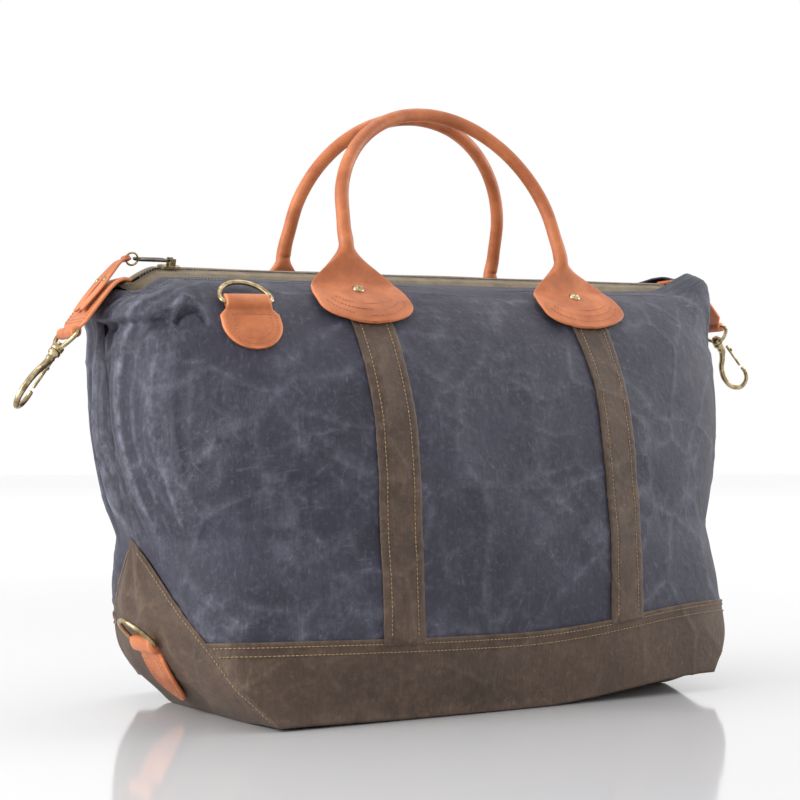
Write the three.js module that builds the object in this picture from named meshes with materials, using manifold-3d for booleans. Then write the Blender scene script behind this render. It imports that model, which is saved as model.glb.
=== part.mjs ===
// A weekender bag: a soft waxed-canvas body with a zip top, leather handles and tabs,
// D-rings and two swivel snap hooks. Millimetres, +Z up, X along the bag, Y to its back,
// origin on the floor under the middle of the base.
import * as THREE from 'three';
import { mergeVertices } from 'three/addons/utils/BufferGeometryUtils.js';
import Module from 'manifold-3d';

const wasm = await Module();
wasm.setup();

// ---------------------------------------------------------------- driving dimensions
const BASE_HALF_LENGTH = 222;
const BASE_HALF_DEPTH = 133;
const BAND_HEIGHT = 64;        // top seam of the olive band above the floor
const GUSSET_HEIGHT = 144;     // apex of the olive end triangle
const CLOTH = 2.4;             // canvas with its lining
const SKIN_GAP = 0.4;          // air between one layer and the next
const ON_CANVAS = 1;           // inner face of what is sewn on the panels, off their surface
const LINING_GAP = 6;          // the loose lining hangs this far inside the canvas
const STRAP_X = 115;
const STRAP_WIDTH = 38;
const STRAP_THICKNESS = 2;
const PANEL_ROWS = 13;         // facet rows of a panel; a strap lies on the lower ones
const STRAP_ROWS = 9;
const LEATHER = 3;
const TOP_LEAN = 7;            // how far the top leans to the back
const TOP_HEIGHT = 371;        // panel edge at the zip tape, middle of the bag
const TOP_ROLL = 0.35;         // the zip faces the front a little: rise per unit of depth
const ZIP_SLOPE = 0.035;       // the zip climbs to the right by this much
const ZIP_HEIGHT = 374;        // middle of the chain at X = 0
const ZIP_HALF_LENGTH = 286;
const TAPE_HALF_WIDTH = 13;
const TAPE_THICKNESS = 1;
const TOOTH_HEIGHT = 2.4;
const CHAIN_HALF_WIDTH = 3;
const SLIDER_X = -254;         // closed, at the left end
const SLIDER_SIZE = { length: 20, width: 12, plate: 2 };
const PULL_LIFT = 8.2;         // pull bar's pin above the chain
const PULL_BAR = { length: 32, width: 10, thickness: 1.6 };
const PULL_RING = { radius: 5.2, wire: 0.9, hole: 2.2 };
const NECK_HEIGHT = 392;       // where each handle leaves its tabs
const NECK_HALF_DEPTH = 56;
const NECK_RADIUS = 6.5;
const HANDLE_START = 3;        // the roll begins this far above the neck
const HANDLE_RADIUS = 6;
const HANDLE_TOP = 521;
const HANDLE_TOP_HALF_GAP = 10;
const HANDLE_TAB = { bottom: 319, halfWidth: 44, widest: 343 };
const WIRE = 2;                // wire radius of the D-rings
const LOOP_WIRE = 1.8;         // and of the snap hooks' loops
const BORE_PLAY = 0.9;         // air round a wire in its leather fold
const FOLD_PLAY = 1.8;         // air at each end of the fold, beside the ring's corners
const RING_INNER = 39;         // fits a 38 mm strap
const RING_HEIGHT = 27;
const RING_SEAT = 5.4;         // ring bar above the canvas
const END_TAB = { start: 292, thickness: 3.2, halfWidth: 23 };
const END_DROOP = 14;          // how far the top's left end hangs below the zip's line
const HOOK = { loop: 16, collar: 5, tilt: 36 };

// Where each corner of the base stands off the floor, as a filled soft bag does.
const CORNER_LIFT = { frontLeft: 3, frontRight: 17, backLeft: 17, backRight: 14 };

// The body's outline from floor to zip: height, half length of the end and half depth of
// the middle, with the exponent of the plan's super-ellipse.
const PROFILE = [
  { z: 0, length: BASE_HALF_LENGTH, depth: BASE_HALF_DEPTH, power: 2.6 },
  { z: 30, length: 248, depth: 138, power: 2.6 },
  { z: 64, length: 262, depth: 141, power: 2.6 },
  { z: 105, length: 277, depth: 143, power: 2.6 },
  { z: 144, length: 287, depth: 142, power: 2.6 },
  { z: 178, length: 299, depth: 139, power: 2.6 },
  { z: 213, length: 305, depth: 135, power: 2.7 },
  { z: 250, length: 309, depth: 128, power: 2.8 },
  { z: 288, length: 311, depth: 115, power: 3.0 },
  { z: 325, length: 312, depth: 94, power: 3.4 },
  { z: 350, length: 311, depth: 67, power: 4.4 },
  { z: 364, length: 306, depth: 41, power: 6.0 },
  { z: 371, length: 300, depth: 17.5, power: 8.0 },
];

// ---------------------------------------------------------------- colours
const COLOURS = {
  navy: { color: 0x4d5260, roughness: 0.75, metalness: 0 },
  olive: { color: 0x66533f, roughness: 0.75, metalness: 0 },
  leather: { color: 0xc8744a, roughness: 0.5, metalness: 0 },
  brass: { color: 0x8f7748, roughness: 0.35, metalness: 1 },
  darkMetal: { color: 0x3a332c, roughness: 0.45, metalness: 0.8 },
  tape: { color: 0x8a7a5c, roughness: 0.9, metalness: 0 },
  lining: { color: 0xb9ac90, roughness: 0.9, metalness: 0 },
};

const bag = new THREE.Group();

function addPart(name, geometry, finish, parent = bag) {
  const mesh = new THREE.Mesh(geometry, new THREE.MeshStandardMaterial(COLOURS[finish]));
  mesh.name = name;
  parent.add(mesh);
  return mesh;
}

// ---------------------------------------------------------------- body surface
const clamp = (value, low, high) => Math.min(Math.max(value, low), high);
const smooth = (x) => {
  const t = clamp(x, 0, 1);
  return t * t * (3 - 2 * t);
};

// The profile at a height, by smooth interpolation between its rows.
const lengthCurve = new THREE.CatmullRomCurve3(
  PROFILE.map((row) => new THREE.Vector3(row.length, row.depth, row.z)),
);
function profileAt(t) {
  const point = lengthCurve.getPoint(clamp(t, 0, 1));
  const place = clamp(t, 0, 1) * (PROFILE.length - 1);
  const row = Math.min(Math.floor(place), PROFILE.length - 2);
  const power = THREE.MathUtils.lerp(PROFILE[row].power, PROFILE[row + 1].power, place - row);
  return { length: point.x, depth: point.y, z: point.z, power };
}

// The profile parameter t at which the curve passes a height.
function atHeight(z) {
  let low = 0;
  let high = 1;
  for (let step = 0; step < 40; step += 1) {
    const middle = (low + high) / 2;
    if (profileAt(middle).z < z) low = middle;
    else high = middle;
  }
  return (low + high) / 2;
}

// Half width of the olive end at a height: the gusset narrows to its apex.
const cornerDepth = (z) => (
  z >= GUSSET_HEIGHT ? 0 : BASE_HALF_DEPTH * (1 - (z / GUSSET_HEIGHT) ** 1.3)
);

function cornerLift(x, y) {
  const lengthwise = smooth(Math.abs(x) / 225);
  const across = smooth((Math.abs(y) - 55) / 67);
  const front = x < 0 ? CORNER_LIFT.frontLeft : CORNER_LIFT.frontRight;
  const back = x < 0 ? CORNER_LIFT.backLeft : CORNER_LIFT.backRight;
  return lengthwise * across * (y < 0 ? front : back);
}

// The left end of the top sags under its leather.
function droop(x, z) {
  return END_DROOP * smooth((-x - 262) / 34) * smooth((z - 300) / 70);
}

// Puts a point of the symmetrical body in its settled place: corners up, top leaning.
function settle(x, y, z) {
  const rise = z / TOP_HEIGHT;
  const lifted = z + cornerLift(x, y) * (1 - 0.7 * smooth(rise));
  const roll = TOP_ROLL * y * Math.exp(-((y / 30) ** 2)) * rise ** 12;
  const height = lifted + ZIP_SLOPE * x * rise ** 4 + roll - droop(x, z);
  return new THREE.Vector3(x, y + TOP_LEAN * rise * rise, height);
}

// A point of the front (side -1) or back (side 1) panel at X and profile parameter t.
function panelPoint(side, x, t) {
  const row = profileAt(t);
  const corner = cornerDepth(row.z);
  const across = clamp(Math.abs(x) / row.length, 0, 1);
  const bulge = (1 - across ** row.power) ** (1 / row.power);
  return settle(x, side * (corner + (row.depth - corner) * bulge), row.z);
}

// The same, with s from -1 to 1 between the two end seams and even steps round the ends.
function panelAt(side, s, t) {
  const row = profileAt(t);
  const angle = (Math.PI / 2) * (1 - Math.abs(s)) ** 1.25;
  const across = Math.cos(angle) ** (2 / row.power);
  return panelPoint(side, Math.sign(s) * across * row.length, t);
}

// A point of the end gusset: w from -1 to 1 between its two seams.
function gussetPoint(end, w, t) {
  const row = profileAt(t);
  const corner = cornerDepth(row.z);
  const bow = 10 * Math.sin((Math.PI * row.z) / GUSSET_HEIGHT) * (1 - w * w);
  return settle(end * (row.length + bow), corner * w, row.z);
}

// ---------------------------------------------------------------- solids from surfaces
// A closed sheet: point(u, v) is its surface, inner and outer are offsets along the
// surface's normal, and flip turns the normal over where the grid runs the other way.
function sheetSolid({ nu, nv, point, inner, outer, flip = false }) {
  const step = 1e-3;
  const normalAt = (u, v) => {
    const along = point(Math.min(u + step, 1), v).sub(point(Math.max(u - step, 0), v));
    const up = point(u, Math.min(v + step, 1)).sub(point(u, Math.max(v - step, 0)));
    return along.cross(up).normalize().multiplyScalar(flip ? -1 : 1);
  };
  const positions = [];
  for (const offset of [outer, inner]) {
    for (let j = 0; j <= nv; j += 1) {
      for (let i = 0; i <= nu; i += 1) {
        const u = i / nu;
        const v = j / nv;
        const distance = typeof offset === 'function' ? offset(u, v) : offset;
        const place = point(u, v).addScaledVector(normalAt(u, v), distance);
        positions.push(place.x, place.y, place.z);
      }
    }
  }
  const row = nu + 1;
  const layer = row * (nv + 1);
  const index = [];
  const face = (a, b, c) => (flip ? index.push(a, c, b) : index.push(a, b, c));
  for (let j = 0; j < nv; j += 1) {
    for (let i = 0; i < nu; i += 1) {
      const a = j * row + i;
      face(a, a + 1, a + row + 1);
      face(a, a + row + 1, a + row);
      face(a + layer, a + layer + row + 1, a + layer + 1);
      face(a + layer, a + layer + row, a + layer + row + 1);
    }
  }
  const rim = [];
  for (let i = 0; i < nu; i += 1) rim.push(i);
  for (let j = 0; j < nv; j += 1) rim.push(j * row + nu);
  for (let i = nu; i > 0; i -= 1) rim.push(nv * row + i);
  for (let j = nv; j > 0; j -= 1) rim.push(j * row);
  rim.forEach((a, k) => {
    const b = rim[(k + 1) % rim.length];
    face(a, a + layer, b + layer);
    face(a, b + layer, b);
  });
  const geometry = new THREE.BufferGeometry();
  geometry.setAttribute('position', new THREE.Float32BufferAttribute(positions, 3));
  geometry.setIndex(index);
  return geometry;
}

const mix = THREE.MathUtils.lerp;
const sides = [
  { name: 'front', side: -1 },
  { name: 'back', side: 1 },
];
const ends = [
  { name: 'left', end: -1 },
  { name: 'right', end: 1 },
];

// ---------------------------------------------------------------- canvas body
const BAND_T = atHeight(BAND_HEIGHT);
const APEX_T = atHeight(GUSSET_HEIGHT - 1);
const SEAM_T = 0.004;          // gap left at a seam, in profile parameter
const SEAM_S = 0.004;          // the same along the panel

// Profile parameter at a share of the panel's height.
const panelRow = (share) => mix(BAND_T + SEAM_T, 1, share);

function addPanel({ name, side }) {
  addPart(`${name}_panel`, sheetSolid({
    nu: 24,
    nv: PANEL_ROWS,
    point: (u, v) => {
      const s = mix(-1 + SEAM_S, 1 - SEAM_S, u);
      const place = panelAt(side, s, panelRow(v));
      place.y += side * SKIN_GAP;
      return place;
    },
    inner: -CLOTH,
    outer: 0,
    flip: side > 0,
  }), 'navy');
}
sides.forEach(addPanel);

// The olive base: front band, floor and back band in one strip. v runs from the front
// band's top edge down, across the floor and up to the back band's top edge.
const FLOOR_SHARE = 0.5;
function basePoint(u, v) {
  const s = mix(-1 + SEAM_S, 1 - SEAM_S, u);
  const wall = (1 - FLOOR_SHARE) / 2;
  if (v <= wall) return panelAt(-1, s, mix(BAND_T - SEAM_T, 0, v / wall));
  if (v >= 1 - wall) return panelAt(1, s, mix(0, BAND_T - SEAM_T, (v - 1 + wall) / wall));
  const front = panelAt(-1, s, 0);
  const y = mix(front.y, -front.y, (v - wall) / FLOOR_SHARE);
  return settle(front.x, y, 0);
}
addPart('base_wrap', sheetSolid({
  nu: 16,
  nv: 16,
  point: basePoint,
  inner: -CLOTH,
  outer: 0,
  flip: true,
}), 'olive');

function addGusset({ name, end }) {
  addPart(`${name}_end_gusset`, sheetSolid({
    nu: 8,
    nv: 8,
    point: (u, v) => gussetPoint(end, mix(-0.98, 0.98, u), mix(0.012, APEX_T - 0.004, v)),
    inner: -CLOTH,
    outer: 0,
    flip: end < 0,
  }), 'olive');
}
ends.forEach(addGusset);

// Canvas straps up the front and back, from the band seam to under the handle tabs.
function addStrap({ name, side }, end) {
  const label = end.name;
  addPart(`${name}_strap_${label}`, sheetSolid({
    nu: 3,
    nv: STRAP_ROWS,
    point: (u, v) => {
      const x = end.end * STRAP_X + mix(-0.5, 0.5, u) * STRAP_WIDTH;
      return panelPoint(side, x, panelRow((v * STRAP_ROWS) / PANEL_ROWS));
    },
    inner: ON_CANVAS,
    outer: ON_CANVAS + STRAP_THICKNESS,
    flip: side > 0,
  }), 'olive');
}
sides.forEach((face) => ends.forEach((end) => addStrap(face, end)));

// Cotton lining inside each wall.
function addLining({ name, side }) {
  addPart(`${name}_lining`, sheetSolid({
    nu: 10,
    nv: 6,
    point: (u, v) => panelAt(side, mix(-0.85, 0.85, u), mix(atHeight(12), atHeight(338), v)),
    inner: -CLOTH - LINING_GAP - 0.8,
    outer: -CLOTH - LINING_GAP,
    flip: side > 0,
  }), 'lining');
}
sides.forEach(addLining);

// ---------------------------------------------------------------- wires, cuts and frames
// A round bar along a curve; radius may vary with the share of its length.
function sweep(curve, steps, radius, facets, closed = false) {
  const frames = curve.computeFrenetFrames(steps, closed);
  const rings = closed ? steps : steps + 1;
  const positions = [];
  for (let i = 0; i < rings; i += 1) {
    const centre = curve.getPointAt(i / steps);
    const size = typeof radius === 'function' ? radius(i / steps) : radius;
    for (let k = 0; k < facets; k += 1) {
      const angle = (2 * Math.PI * k) / facets;
      const place = centre.clone()
        .addScaledVector(frames.normals[i], Math.cos(angle) * size)
        .addScaledVector(frames.binormals[i], Math.sin(angle) * size);
      positions.push(place.x, place.y, place.z);
    }
  }
  const index = [];
  const spans = closed ? rings : rings - 1;
  for (let i = 0; i < spans; i += 1) {
    const next = (i + 1) % rings;
    for (let k = 0; k < facets; k += 1) {
      const beside = (k + 1) % facets;
      const a = i * facets + k;
      const b = i * facets + beside;
      const c = next * facets + beside;
      const d = next * facets + k;
      index.push(a, b, c, a, c, d);
    }
  }
  if (!closed) {
    const last = (rings - 1) * facets;
    for (let k = 1; k < facets - 1; k += 1) {
      index.push(0, k + 1, k);
      index.push(last, last + k, last + k + 1);
    }
  }
  const geometry = new THREE.BufferGeometry();
  geometry.setAttribute('position', new THREE.Float32BufferAttribute(positions, 3));
  geometry.setIndex(index);
  return geometry;
}

function toSolid(geometry) {
  const bare = geometry.clone();
  bare.deleteAttribute('normal');
  bare.deleteAttribute('uv');
  const merged = mergeVertices(bare, 1e-4);
  return new wasm.Manifold(new wasm.Mesh({
    numProp: 3,
    vertProperties: new Float32Array(merged.attributes.position.array),
    triVerts: new Uint32Array(merged.index.array),
  }));
}

function fromSolid(solid) {
  const mesh = solid.getMesh();
  const geometry = new THREE.BufferGeometry();
  geometry.setAttribute('position', new THREE.BufferAttribute(mesh.vertProperties, 3));
  geometry.setIndex(new THREE.BufferAttribute(mesh.triVerts, 1));
  return geometry;
}

const join = (...pieces) => fromSolid(pieces.map(toSolid).reduce((a, b) => a.add(b)));
const cut = (piece, tool) => fromSolid(toSolid(piece).subtract(toSolid(tool)));
const point3 = (x, y, z) => new THREE.Vector3(x, y, z);

// A cylinder from one point along a direction.
function rod(radius, length, facets = 12) {
  return new THREE.CylinderGeometry(radius, radius, length, facets);
}

// The frame of a surface at (a, z): X along a, Y up the surface, Z outwards.
function frameOn(surface, a, z) {
  const step = 0.5;
  const along = surface(a + step, z).sub(surface(a - step, z)).normalize();
  const up = surface(a, z + step).sub(surface(a, z - step)).normalize();
  const out = along.clone().cross(up).normalize();
  const matrix = new THREE.Matrix4().makeBasis(along, out.clone().cross(along), out);
  return matrix.setPosition(surface(a, z));
}

const panelSurface = (side) => (a, z) => panelPoint(side, -side * a, atHeight(z));
const endSurface = (end) => (a, z) => (
  gussetPoint(end, (end * a) / cornerDepth(z), atHeight(z))
);

// ---------------------------------------------------------------- D-rings and their tabs
const ringCurve = (() => {
  const half = RING_INNER / 2 + WIRE;
  const bar = [-0.93, -0.5, 0, 0.5, 0.93];
  const points = bar.map((share) => point3(half * share, 0, 0));
  for (let k = 0; k <= 8; k += 1) {
    const angle = (Math.PI * k) / 8;
    points.push(point3(half * Math.cos(angle), 3 + (RING_HEIGHT - 3) * Math.sin(angle), 0));
  }
  return new THREE.CatmullRomCurve3(points, true, 'centripetal');
})();

// A leather tab folded round a D-ring's bar: round at the bottom, sewn to the canvas, with
// the ring in its folded top edge. The ring leans off the canvas by tilt degrees.
function addRingTab({ name, surface, a, fold, length, halfWidth, tilt }) {
  const barZ = fold - 4.8;
  const point = (u, v) => {
    const bottom = clamp(v / 0.5, 0, 1);
    const round = Math.sqrt(Math.max(1 - (1 - bottom) ** 2, 0.02));
    const neck = mix(halfWidth, RING_INNER / 2 - FOLD_PLAY, smooth((v - 0.55) / 0.25));
    return surface(a + mix(-1, 1, u) * neck * round, mix(fold - length, fold, v));
  };
  const leather = sheetSolid({
    nu: 4,
    nv: 12,
    point,
    inner: ON_CANVAS,
    outer: (u, v) => ON_CANVAS + LEATHER + 5.4 * smooth((v - 0.7) / 0.1),
  });
  const frame = frameOn(surface, a, barZ);
  const bore = rod(WIRE + BORE_PLAY, 80).rotateZ(Math.PI / 2).translate(0, 0, RING_SEAT);
  bore.applyMatrix4(frame);
  addPart(`${name}_ring_tab`, cut(leather, bore), 'leather');
  const ring = new THREE.Group();
  ring.applyMatrix4(frame);
  bag.add(ring);
  const dRing = addPart(`${name}_d_ring`, sweep(ringCurve, 24, WIRE, 6, true), 'brass', ring);
  dRing.position.z = RING_SEAT;
  dRing.rotation.x = THREE.MathUtils.degToRad(tilt);
}
addRingTab({
  name: 'front', surface: panelSurface(-1), a: -222, fold: 340, length: 44, halfWidth: 24, tilt: -10,
});
addRingTab({
  name: 'back', surface: panelSurface(1), a: -222, fold: 340, length: 44, halfWidth: 24, tilt: -10,
});
ends.forEach(({ name, end }) => addRingTab({
  name, surface: endSurface(end), a: 0, fold: 66, length: 52, halfWidth: 20, tilt: 24,
}));

// ---------------------------------------------------------------- handles
// Y of a handle's middle at a height: it leans inwards from the necks to its top.
function handleY(side, z) {
  const share = (z - NECK_HEIGHT) / (HANDLE_TOP - NECK_HEIGHT);
  return TOP_LEAN + side * NECK_HALF_DEPTH * (1 - share)
    + (TOP_LEAN / 2 + side * HANDLE_TOP_HALF_GAP) * share;
}

// The fan-shaped tab: round at the bottom, on the canvas up to the rivet, then free of it
// and gathered into the round neck.
function addHandleTab(face, end) {
  const { side } = face;
  const leave = 352;
  const tabTop = NECK_HEIGHT - SKIN_GAP;
  const base = (x, z) => panelPoint(side, x, atHeight(Math.min(z, leave)));
  const onStrap = ON_CANVAS + STRAP_THICKNESS + SKIN_GAP;
  const neckHalf = NECK_RADIUS * 0.75;
  const gather = (v) => smooth((v - 0.62) / 0.38);
  const point = (u, v) => {
    const z = mix(HANDLE_TAB.bottom, tabTop, v);
    const flare = smooth((z - HANDLE_TAB.widest) / 26);
    const fromBottom = clamp((z - HANDLE_TAB.bottom) / 16, 0, 1);
    const round = Math.sqrt(Math.max(1 - (1 - fromBottom) ** 2, 0.03));
    const half = mix(HANDLE_TAB.halfWidth * round, NECK_RADIUS, flare);
    const x = end.end * STRAP_X + mix(-1, 1, u) * half;
    if (z <= leave) return base(x, z);
    const rise = (z - leave) / (tabTop - leave);
    const foot = base(x, leave);
    foot.y = mix(foot.y, handleY(side, NECK_HEIGHT), Math.sin((Math.PI / 2) * rise));
    foot.z = mix(foot.z, tabTop, rise);
    return foot;
  };
  addPart(`${face.name}_handle_tab_${end.name}`, sheetSolid({
    nu: 6,
    nv: 12,
    point,
    inner: (u, v) => mix(onStrap, -neckHalf, gather(v)),
    outer: (u, v) => mix(onStrap + LEATHER, neckHalf, gather(v)),
    flip: side > 0,
  }), 'leather');
  const rivet = new THREE.LatheGeometry([
    new THREE.Vector2(0, 0), new THREE.Vector2(4.5, 0), new THREE.Vector2(4, 1.4),
    new THREE.Vector2(2, 2.4), new THREE.Vector2(0, 2.6),
  ], 12).rotateX(Math.PI / 2);
  const seat = frameOn(panelSurface(side), -side * end.end * STRAP_X, 347);
  rivet.translate(0, 0, ON_CANVAS + SKIN_GAP * 3 + STRAP_THICKNESS + LEATHER).applyMatrix4(seat);
  addPart(`${face.name}_handle_rivet_${end.name}`, rivet, 'brass');
}
sides.forEach((face) => ends.forEach((end) => addHandleTab(face, end)));

// The rolled leather arch between the two necks.
function addHandle({ name, side }) {
  const points = [];
  const shoulder = NECK_HEIGHT + 20;
  const place = (x, z) => point3(x, handleY(side, z), z);
  points.push(place(-STRAP_X, NECK_HEIGHT + HANDLE_START), place(-STRAP_X, NECK_HEIGHT + 11));
  for (let k = 0; k <= 12; k += 1) {
    const angle = (Math.PI * k) / 12;
    const z = shoulder + (HANDLE_TOP - shoulder) * Math.sin(angle);
    points.push(place(-(STRAP_X - 1) * Math.cos(angle), z));
  }
  points.push(place(STRAP_X, NECK_HEIGHT + 11), place(STRAP_X, NECK_HEIGHT + HANDLE_START));
  const curve = new THREE.CatmullRomCurve3(points, false, 'centripetal');
  addPart(`${name}_handle`, sweep(curve, 32, HANDLE_RADIUS, 8), 'leather');
}
sides.forEach(addHandle);

// ---------------------------------------------------------------- zip
// The zip's own frame: X along the chain, Y across it, Z out of the bag.
const zip = new THREE.Group();
const chainAlong = point3(1, 0, ZIP_SLOPE).normalize();
const chainOut = chainAlong.clone().cross(point3(0, 1, TOP_ROLL)).normalize();
zip.applyMatrix4(new THREE.Matrix4()
  .makeBasis(chainAlong, chainOut.clone().cross(chainAlong), chainOut)
  .setPosition(0, TOP_LEAN, ZIP_HEIGHT));
bag.add(zip);

function box(size, centre) {
  return new THREE.BoxGeometry(...size).translate(...centre);
}

sides.forEach(({ name, side }) => {
  const chain = CHAIN_HALF_WIDTH - SKIN_GAP / 2;
  const tape = TAPE_HALF_WIDTH - CHAIN_HALF_WIDTH - SKIN_GAP;
  addPart(`${name}_zip_teeth`, box(
    [2 * ZIP_HALF_LENGTH - 6, chain, TOOTH_HEIGHT],
    [0, (side * (SKIN_GAP + chain)) / 2, 0],
  ), 'darkMetal', zip);
  addPart(`${name}_zip_tape`, box(
    [2 * ZIP_HALF_LENGTH, tape, TAPE_THICKNESS],
    [0, side * (CHAIN_HALF_WIDTH + SKIN_GAP + tape / 2), 0],
  ), 'tape', zip);
});

// Slider: a plate over the chain, with two cheeks that hold the pull's pin.
const PIN = { x: SLIDER_X + 2, radius: 0.9, span: 8 };
const plateZ = TOOTH_HEIGHT / 2 + 0.5 + SLIDER_SIZE.plate / 2;
const cheekHeight = PULL_LIFT + 1.8 - plateZ;
const cheeks = [-1, 1].map((hand) => box(
  [5, 1.2, cheekHeight],
  [PIN.x, hand * (PIN.span / 2 - 0.6), plateZ + cheekHeight / 2],
));
const plate = new THREE.Shape();
plate.absellipse(0, 0, SLIDER_SIZE.length / 2, SLIDER_SIZE.width / 2, 0, 2 * Math.PI);
const plateSolid = new THREE.ExtrudeGeometry(plate, {
  depth: SLIDER_SIZE.plate, bevelEnabled: false, curveSegments: 10,
}).translate(SLIDER_X, 0, plateZ - SLIDER_SIZE.plate / 2);
const pin = rod(PIN.radius, PIN.span).translate(PIN.x, 0, PULL_LIFT);
addPart('zip_slider', join(plateSolid, ...cheeks, pin), 'brass', zip);

// Pull bar: a barrel on the pin, a neck between the cheeks and a flat blade with a hole.
const pullHole = PIN.x - PULL_BAR.length + 2;
const blade = new THREE.Shape();
blade.moveTo(-1, -1.8);
blade.lineTo(-4.5, -1.8);
blade.lineTo(-6, -PULL_BAR.width / 2);
blade.lineTo(-PULL_BAR.length + 3, -PULL_BAR.width / 2);
blade.absarc(-PULL_BAR.length + 3, 0, PULL_BAR.width / 2, -Math.PI / 2, Math.PI / 2, true);
blade.lineTo(-6, PULL_BAR.width / 2);
blade.lineTo(-4.5, 1.8);
blade.lineTo(-1, 1.8);
const bladeSolid = new THREE.ExtrudeGeometry(blade, {
  depth: PULL_BAR.thickness, bevelEnabled: false, curveSegments: 6,
}).translate(PIN.x, 0, PULL_LIFT - PULL_BAR.thickness / 2);
const barrel = rod(2.1, 4.8).translate(PIN.x, 0, PULL_LIFT);
const ringHole = rod(PULL_RING.hole, 10).rotateX(Math.PI / 2).translate(pullHole, 0, PULL_LIFT);
const pinBore = rod(PIN.radius + 0.3, 10).translate(PIN.x, 0, PULL_LIFT);
addPart('zip_pull_bar', cut(cut(join(bladeSolid, barrel), pinBore), ringHole), 'darkMetal', zip);

const pullRing = new THREE.TorusGeometry(PULL_RING.radius, PULL_RING.wire, 6, 20)
  .rotateX(Math.PI / 2).translate(pullHole - PULL_RING.radius, 0, PULL_LIFT);
addPart('zip_pull_ring', pullRing, 'brass', zip);

// ---------------------------------------------------------------- end tabs and snap hooks
// Outline of a tab from the zip's end over the bag's shoulder to just past its hook's bar,
// x outwards from its start.
function tabPathTo(bar) {
  const shares = [[0, 0], [0.2, 0.045], [0.4, 0.21], [0.7, 0.59]];
  const points = shares.map(([across, down]) => point3(across * bar.x, 0, down * bar.z));
  return new THREE.CatmullRomCurve3([...points, point3(bar.x + 3, 0, bar.z - 4.2)]);
}

// Wire loop in the YZ plane: a bar in the tab, sides closing in to the swivel collar.
const loopHalf = RING_INNER / 2 + LOOP_WIRE;
const loopCurve = new THREE.CatmullRomCurve3([
  point3(0, -loopHalf * 0.93, 0), point3(0, -loopHalf / 2, 0), point3(0, 0, 0),
  point3(0, loopHalf / 2, 0), point3(0, loopHalf * 0.93, 0), point3(0, loopHalf, -2.5),
  point3(0, loopHalf * 0.75, -HOOK.loop * 0.6), point3(0, 5, -HOOK.loop),
  point3(0, -5, -HOOK.loop), point3(0, -loopHalf * 0.75, -HOOK.loop * 0.6),
  point3(0, -loopHalf, -2.5),
], true, 'centripetal');

// The hook in its own XZ plane, from the collar down.
const bodyTop = -HOOK.loop - HOOK.collar / 2 - SKIN_GAP;
const stemTop = HOOK.collar + 2 * SKIN_GAP;
const hookProfile = [
  [0, stemTop + 2], [3.4, stemTop + 2], [3.4, stemTop], [1.8, stemTop], [1.8, 0],
  [5, 0], [5, -3], [3.4, -4.5], [4.2, -7], [3.4, -12], [0, -12],
];
const crookCurve = new THREE.CatmullRomCurve3([
  point3(0, 0, bodyTop - 9), point3(-3, 0, bodyTop - 16), point3(-9, 0, bodyTop - 26),
  point3(-11, 0, bodyTop - 38), point3(-8, 0, bodyTop - 49), point3(0, 0, bodyTop - 54),
  point3(8, 0, bodyTop - 50), point3(11, 0, bodyTop - 42), point3(10, 0, bodyTop - 35),
]);
const gateCurve = new THREE.LineCurve3(
  point3(6.6, 0, bodyTop - 7), point3(9, 0, bodyTop - 30),
);

function addEnd({ name, end }, { lift, spin, rise, bar }) {
  const tabPath = tabPathTo(bar);
  const holder = new THREE.Group();
  holder.position.set(
    end * END_TAB.start,
    TOP_LEAN,
    ZIP_HEIGHT + end * END_TAB.start * ZIP_SLOPE + rise,
  );
  holder.rotation.y = -end * THREE.MathUtils.degToRad(lift);
  bag.add(holder);

  const bulb = (v) => 3 * smooth((v - 0.84) / 0.06);
  const tab = sheetSolid({
    nu: 4,
    nv: 20,
    point: (u, v) => {
      const place = tabPath.getPointAt(v);
      const half = mix(END_TAB.halfWidth, RING_INNER / 2 - 3, smooth((v - 0.78) / 0.12))
        * Math.sqrt(mix(0.35, 1, smooth(v / 0.2)));
      return point3(end * place.x, mix(-1, 1, u) * half, place.z);
    },
    inner: (u, v) => -END_TAB.thickness / 2 - bulb(v),
    outer: (u, v) => END_TAB.thickness / 2 + bulb(v),
    flip: end > 0,
  });
  const barPlace = [end * bar.x, 0, bar.z];
  const barBore = rod(LOOP_WIRE + BORE_PLAY, 80).translate(...barPlace);
  addPart(`${name}_end_tab`, cut(tab, barBore), 'leather', holder);

  const hook = new THREE.Group();
  hook.position.set(...barPlace);
  hook.rotation.y = -end * THREE.MathUtils.degToRad(HOOK.tilt - lift);
  holder.add(hook);
  const collar = rod(5, HOOK.collar).rotateX(Math.PI / 2).translate(0, 0, -HOOK.loop);
  const loop = join(sweep(loopCurve, 26, LOOP_WIRE, 6, true), collar);
  const stemBore = rod(2.3, 20).rotateX(Math.PI / 2).translate(0, 0, -HOOK.loop);
  addPart(`${name}_hook_loop`, cut(loop, stemBore), 'brass', hook);

  const swivel = new THREE.Group();
  swivel.rotation.z = THREE.MathUtils.degToRad(spin);
  hook.add(swivel);
  const shank = new THREE.LatheGeometry(
    hookProfile.map(([r, z]) => new THREE.Vector2(r, z)).reverse(), 12,
  ).rotateX(Math.PI / 2).translate(0, 0, bodyTop);
  const crook = sweep(crookCurve, 20, (q) => mix(3.4, 1.9, q), 8);
  addPart(`${name}_hook_body`, join(shank, crook), 'brass', swivel);
  addPart(`${name}_hook_gate`, sweep(gateCurve, 4, (q) => mix(1.8, 1.3, q), 6), 'brass', swivel);
}
addEnd(ends[0], { lift: 0, spin: 57.5, rise: -7, bar: { x: 48, z: -48 } });
addEnd(ends[1], { lift: 11, spin: -32.5, rise: 7.2, bar: { x: 50, z: -57.5 } });

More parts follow.
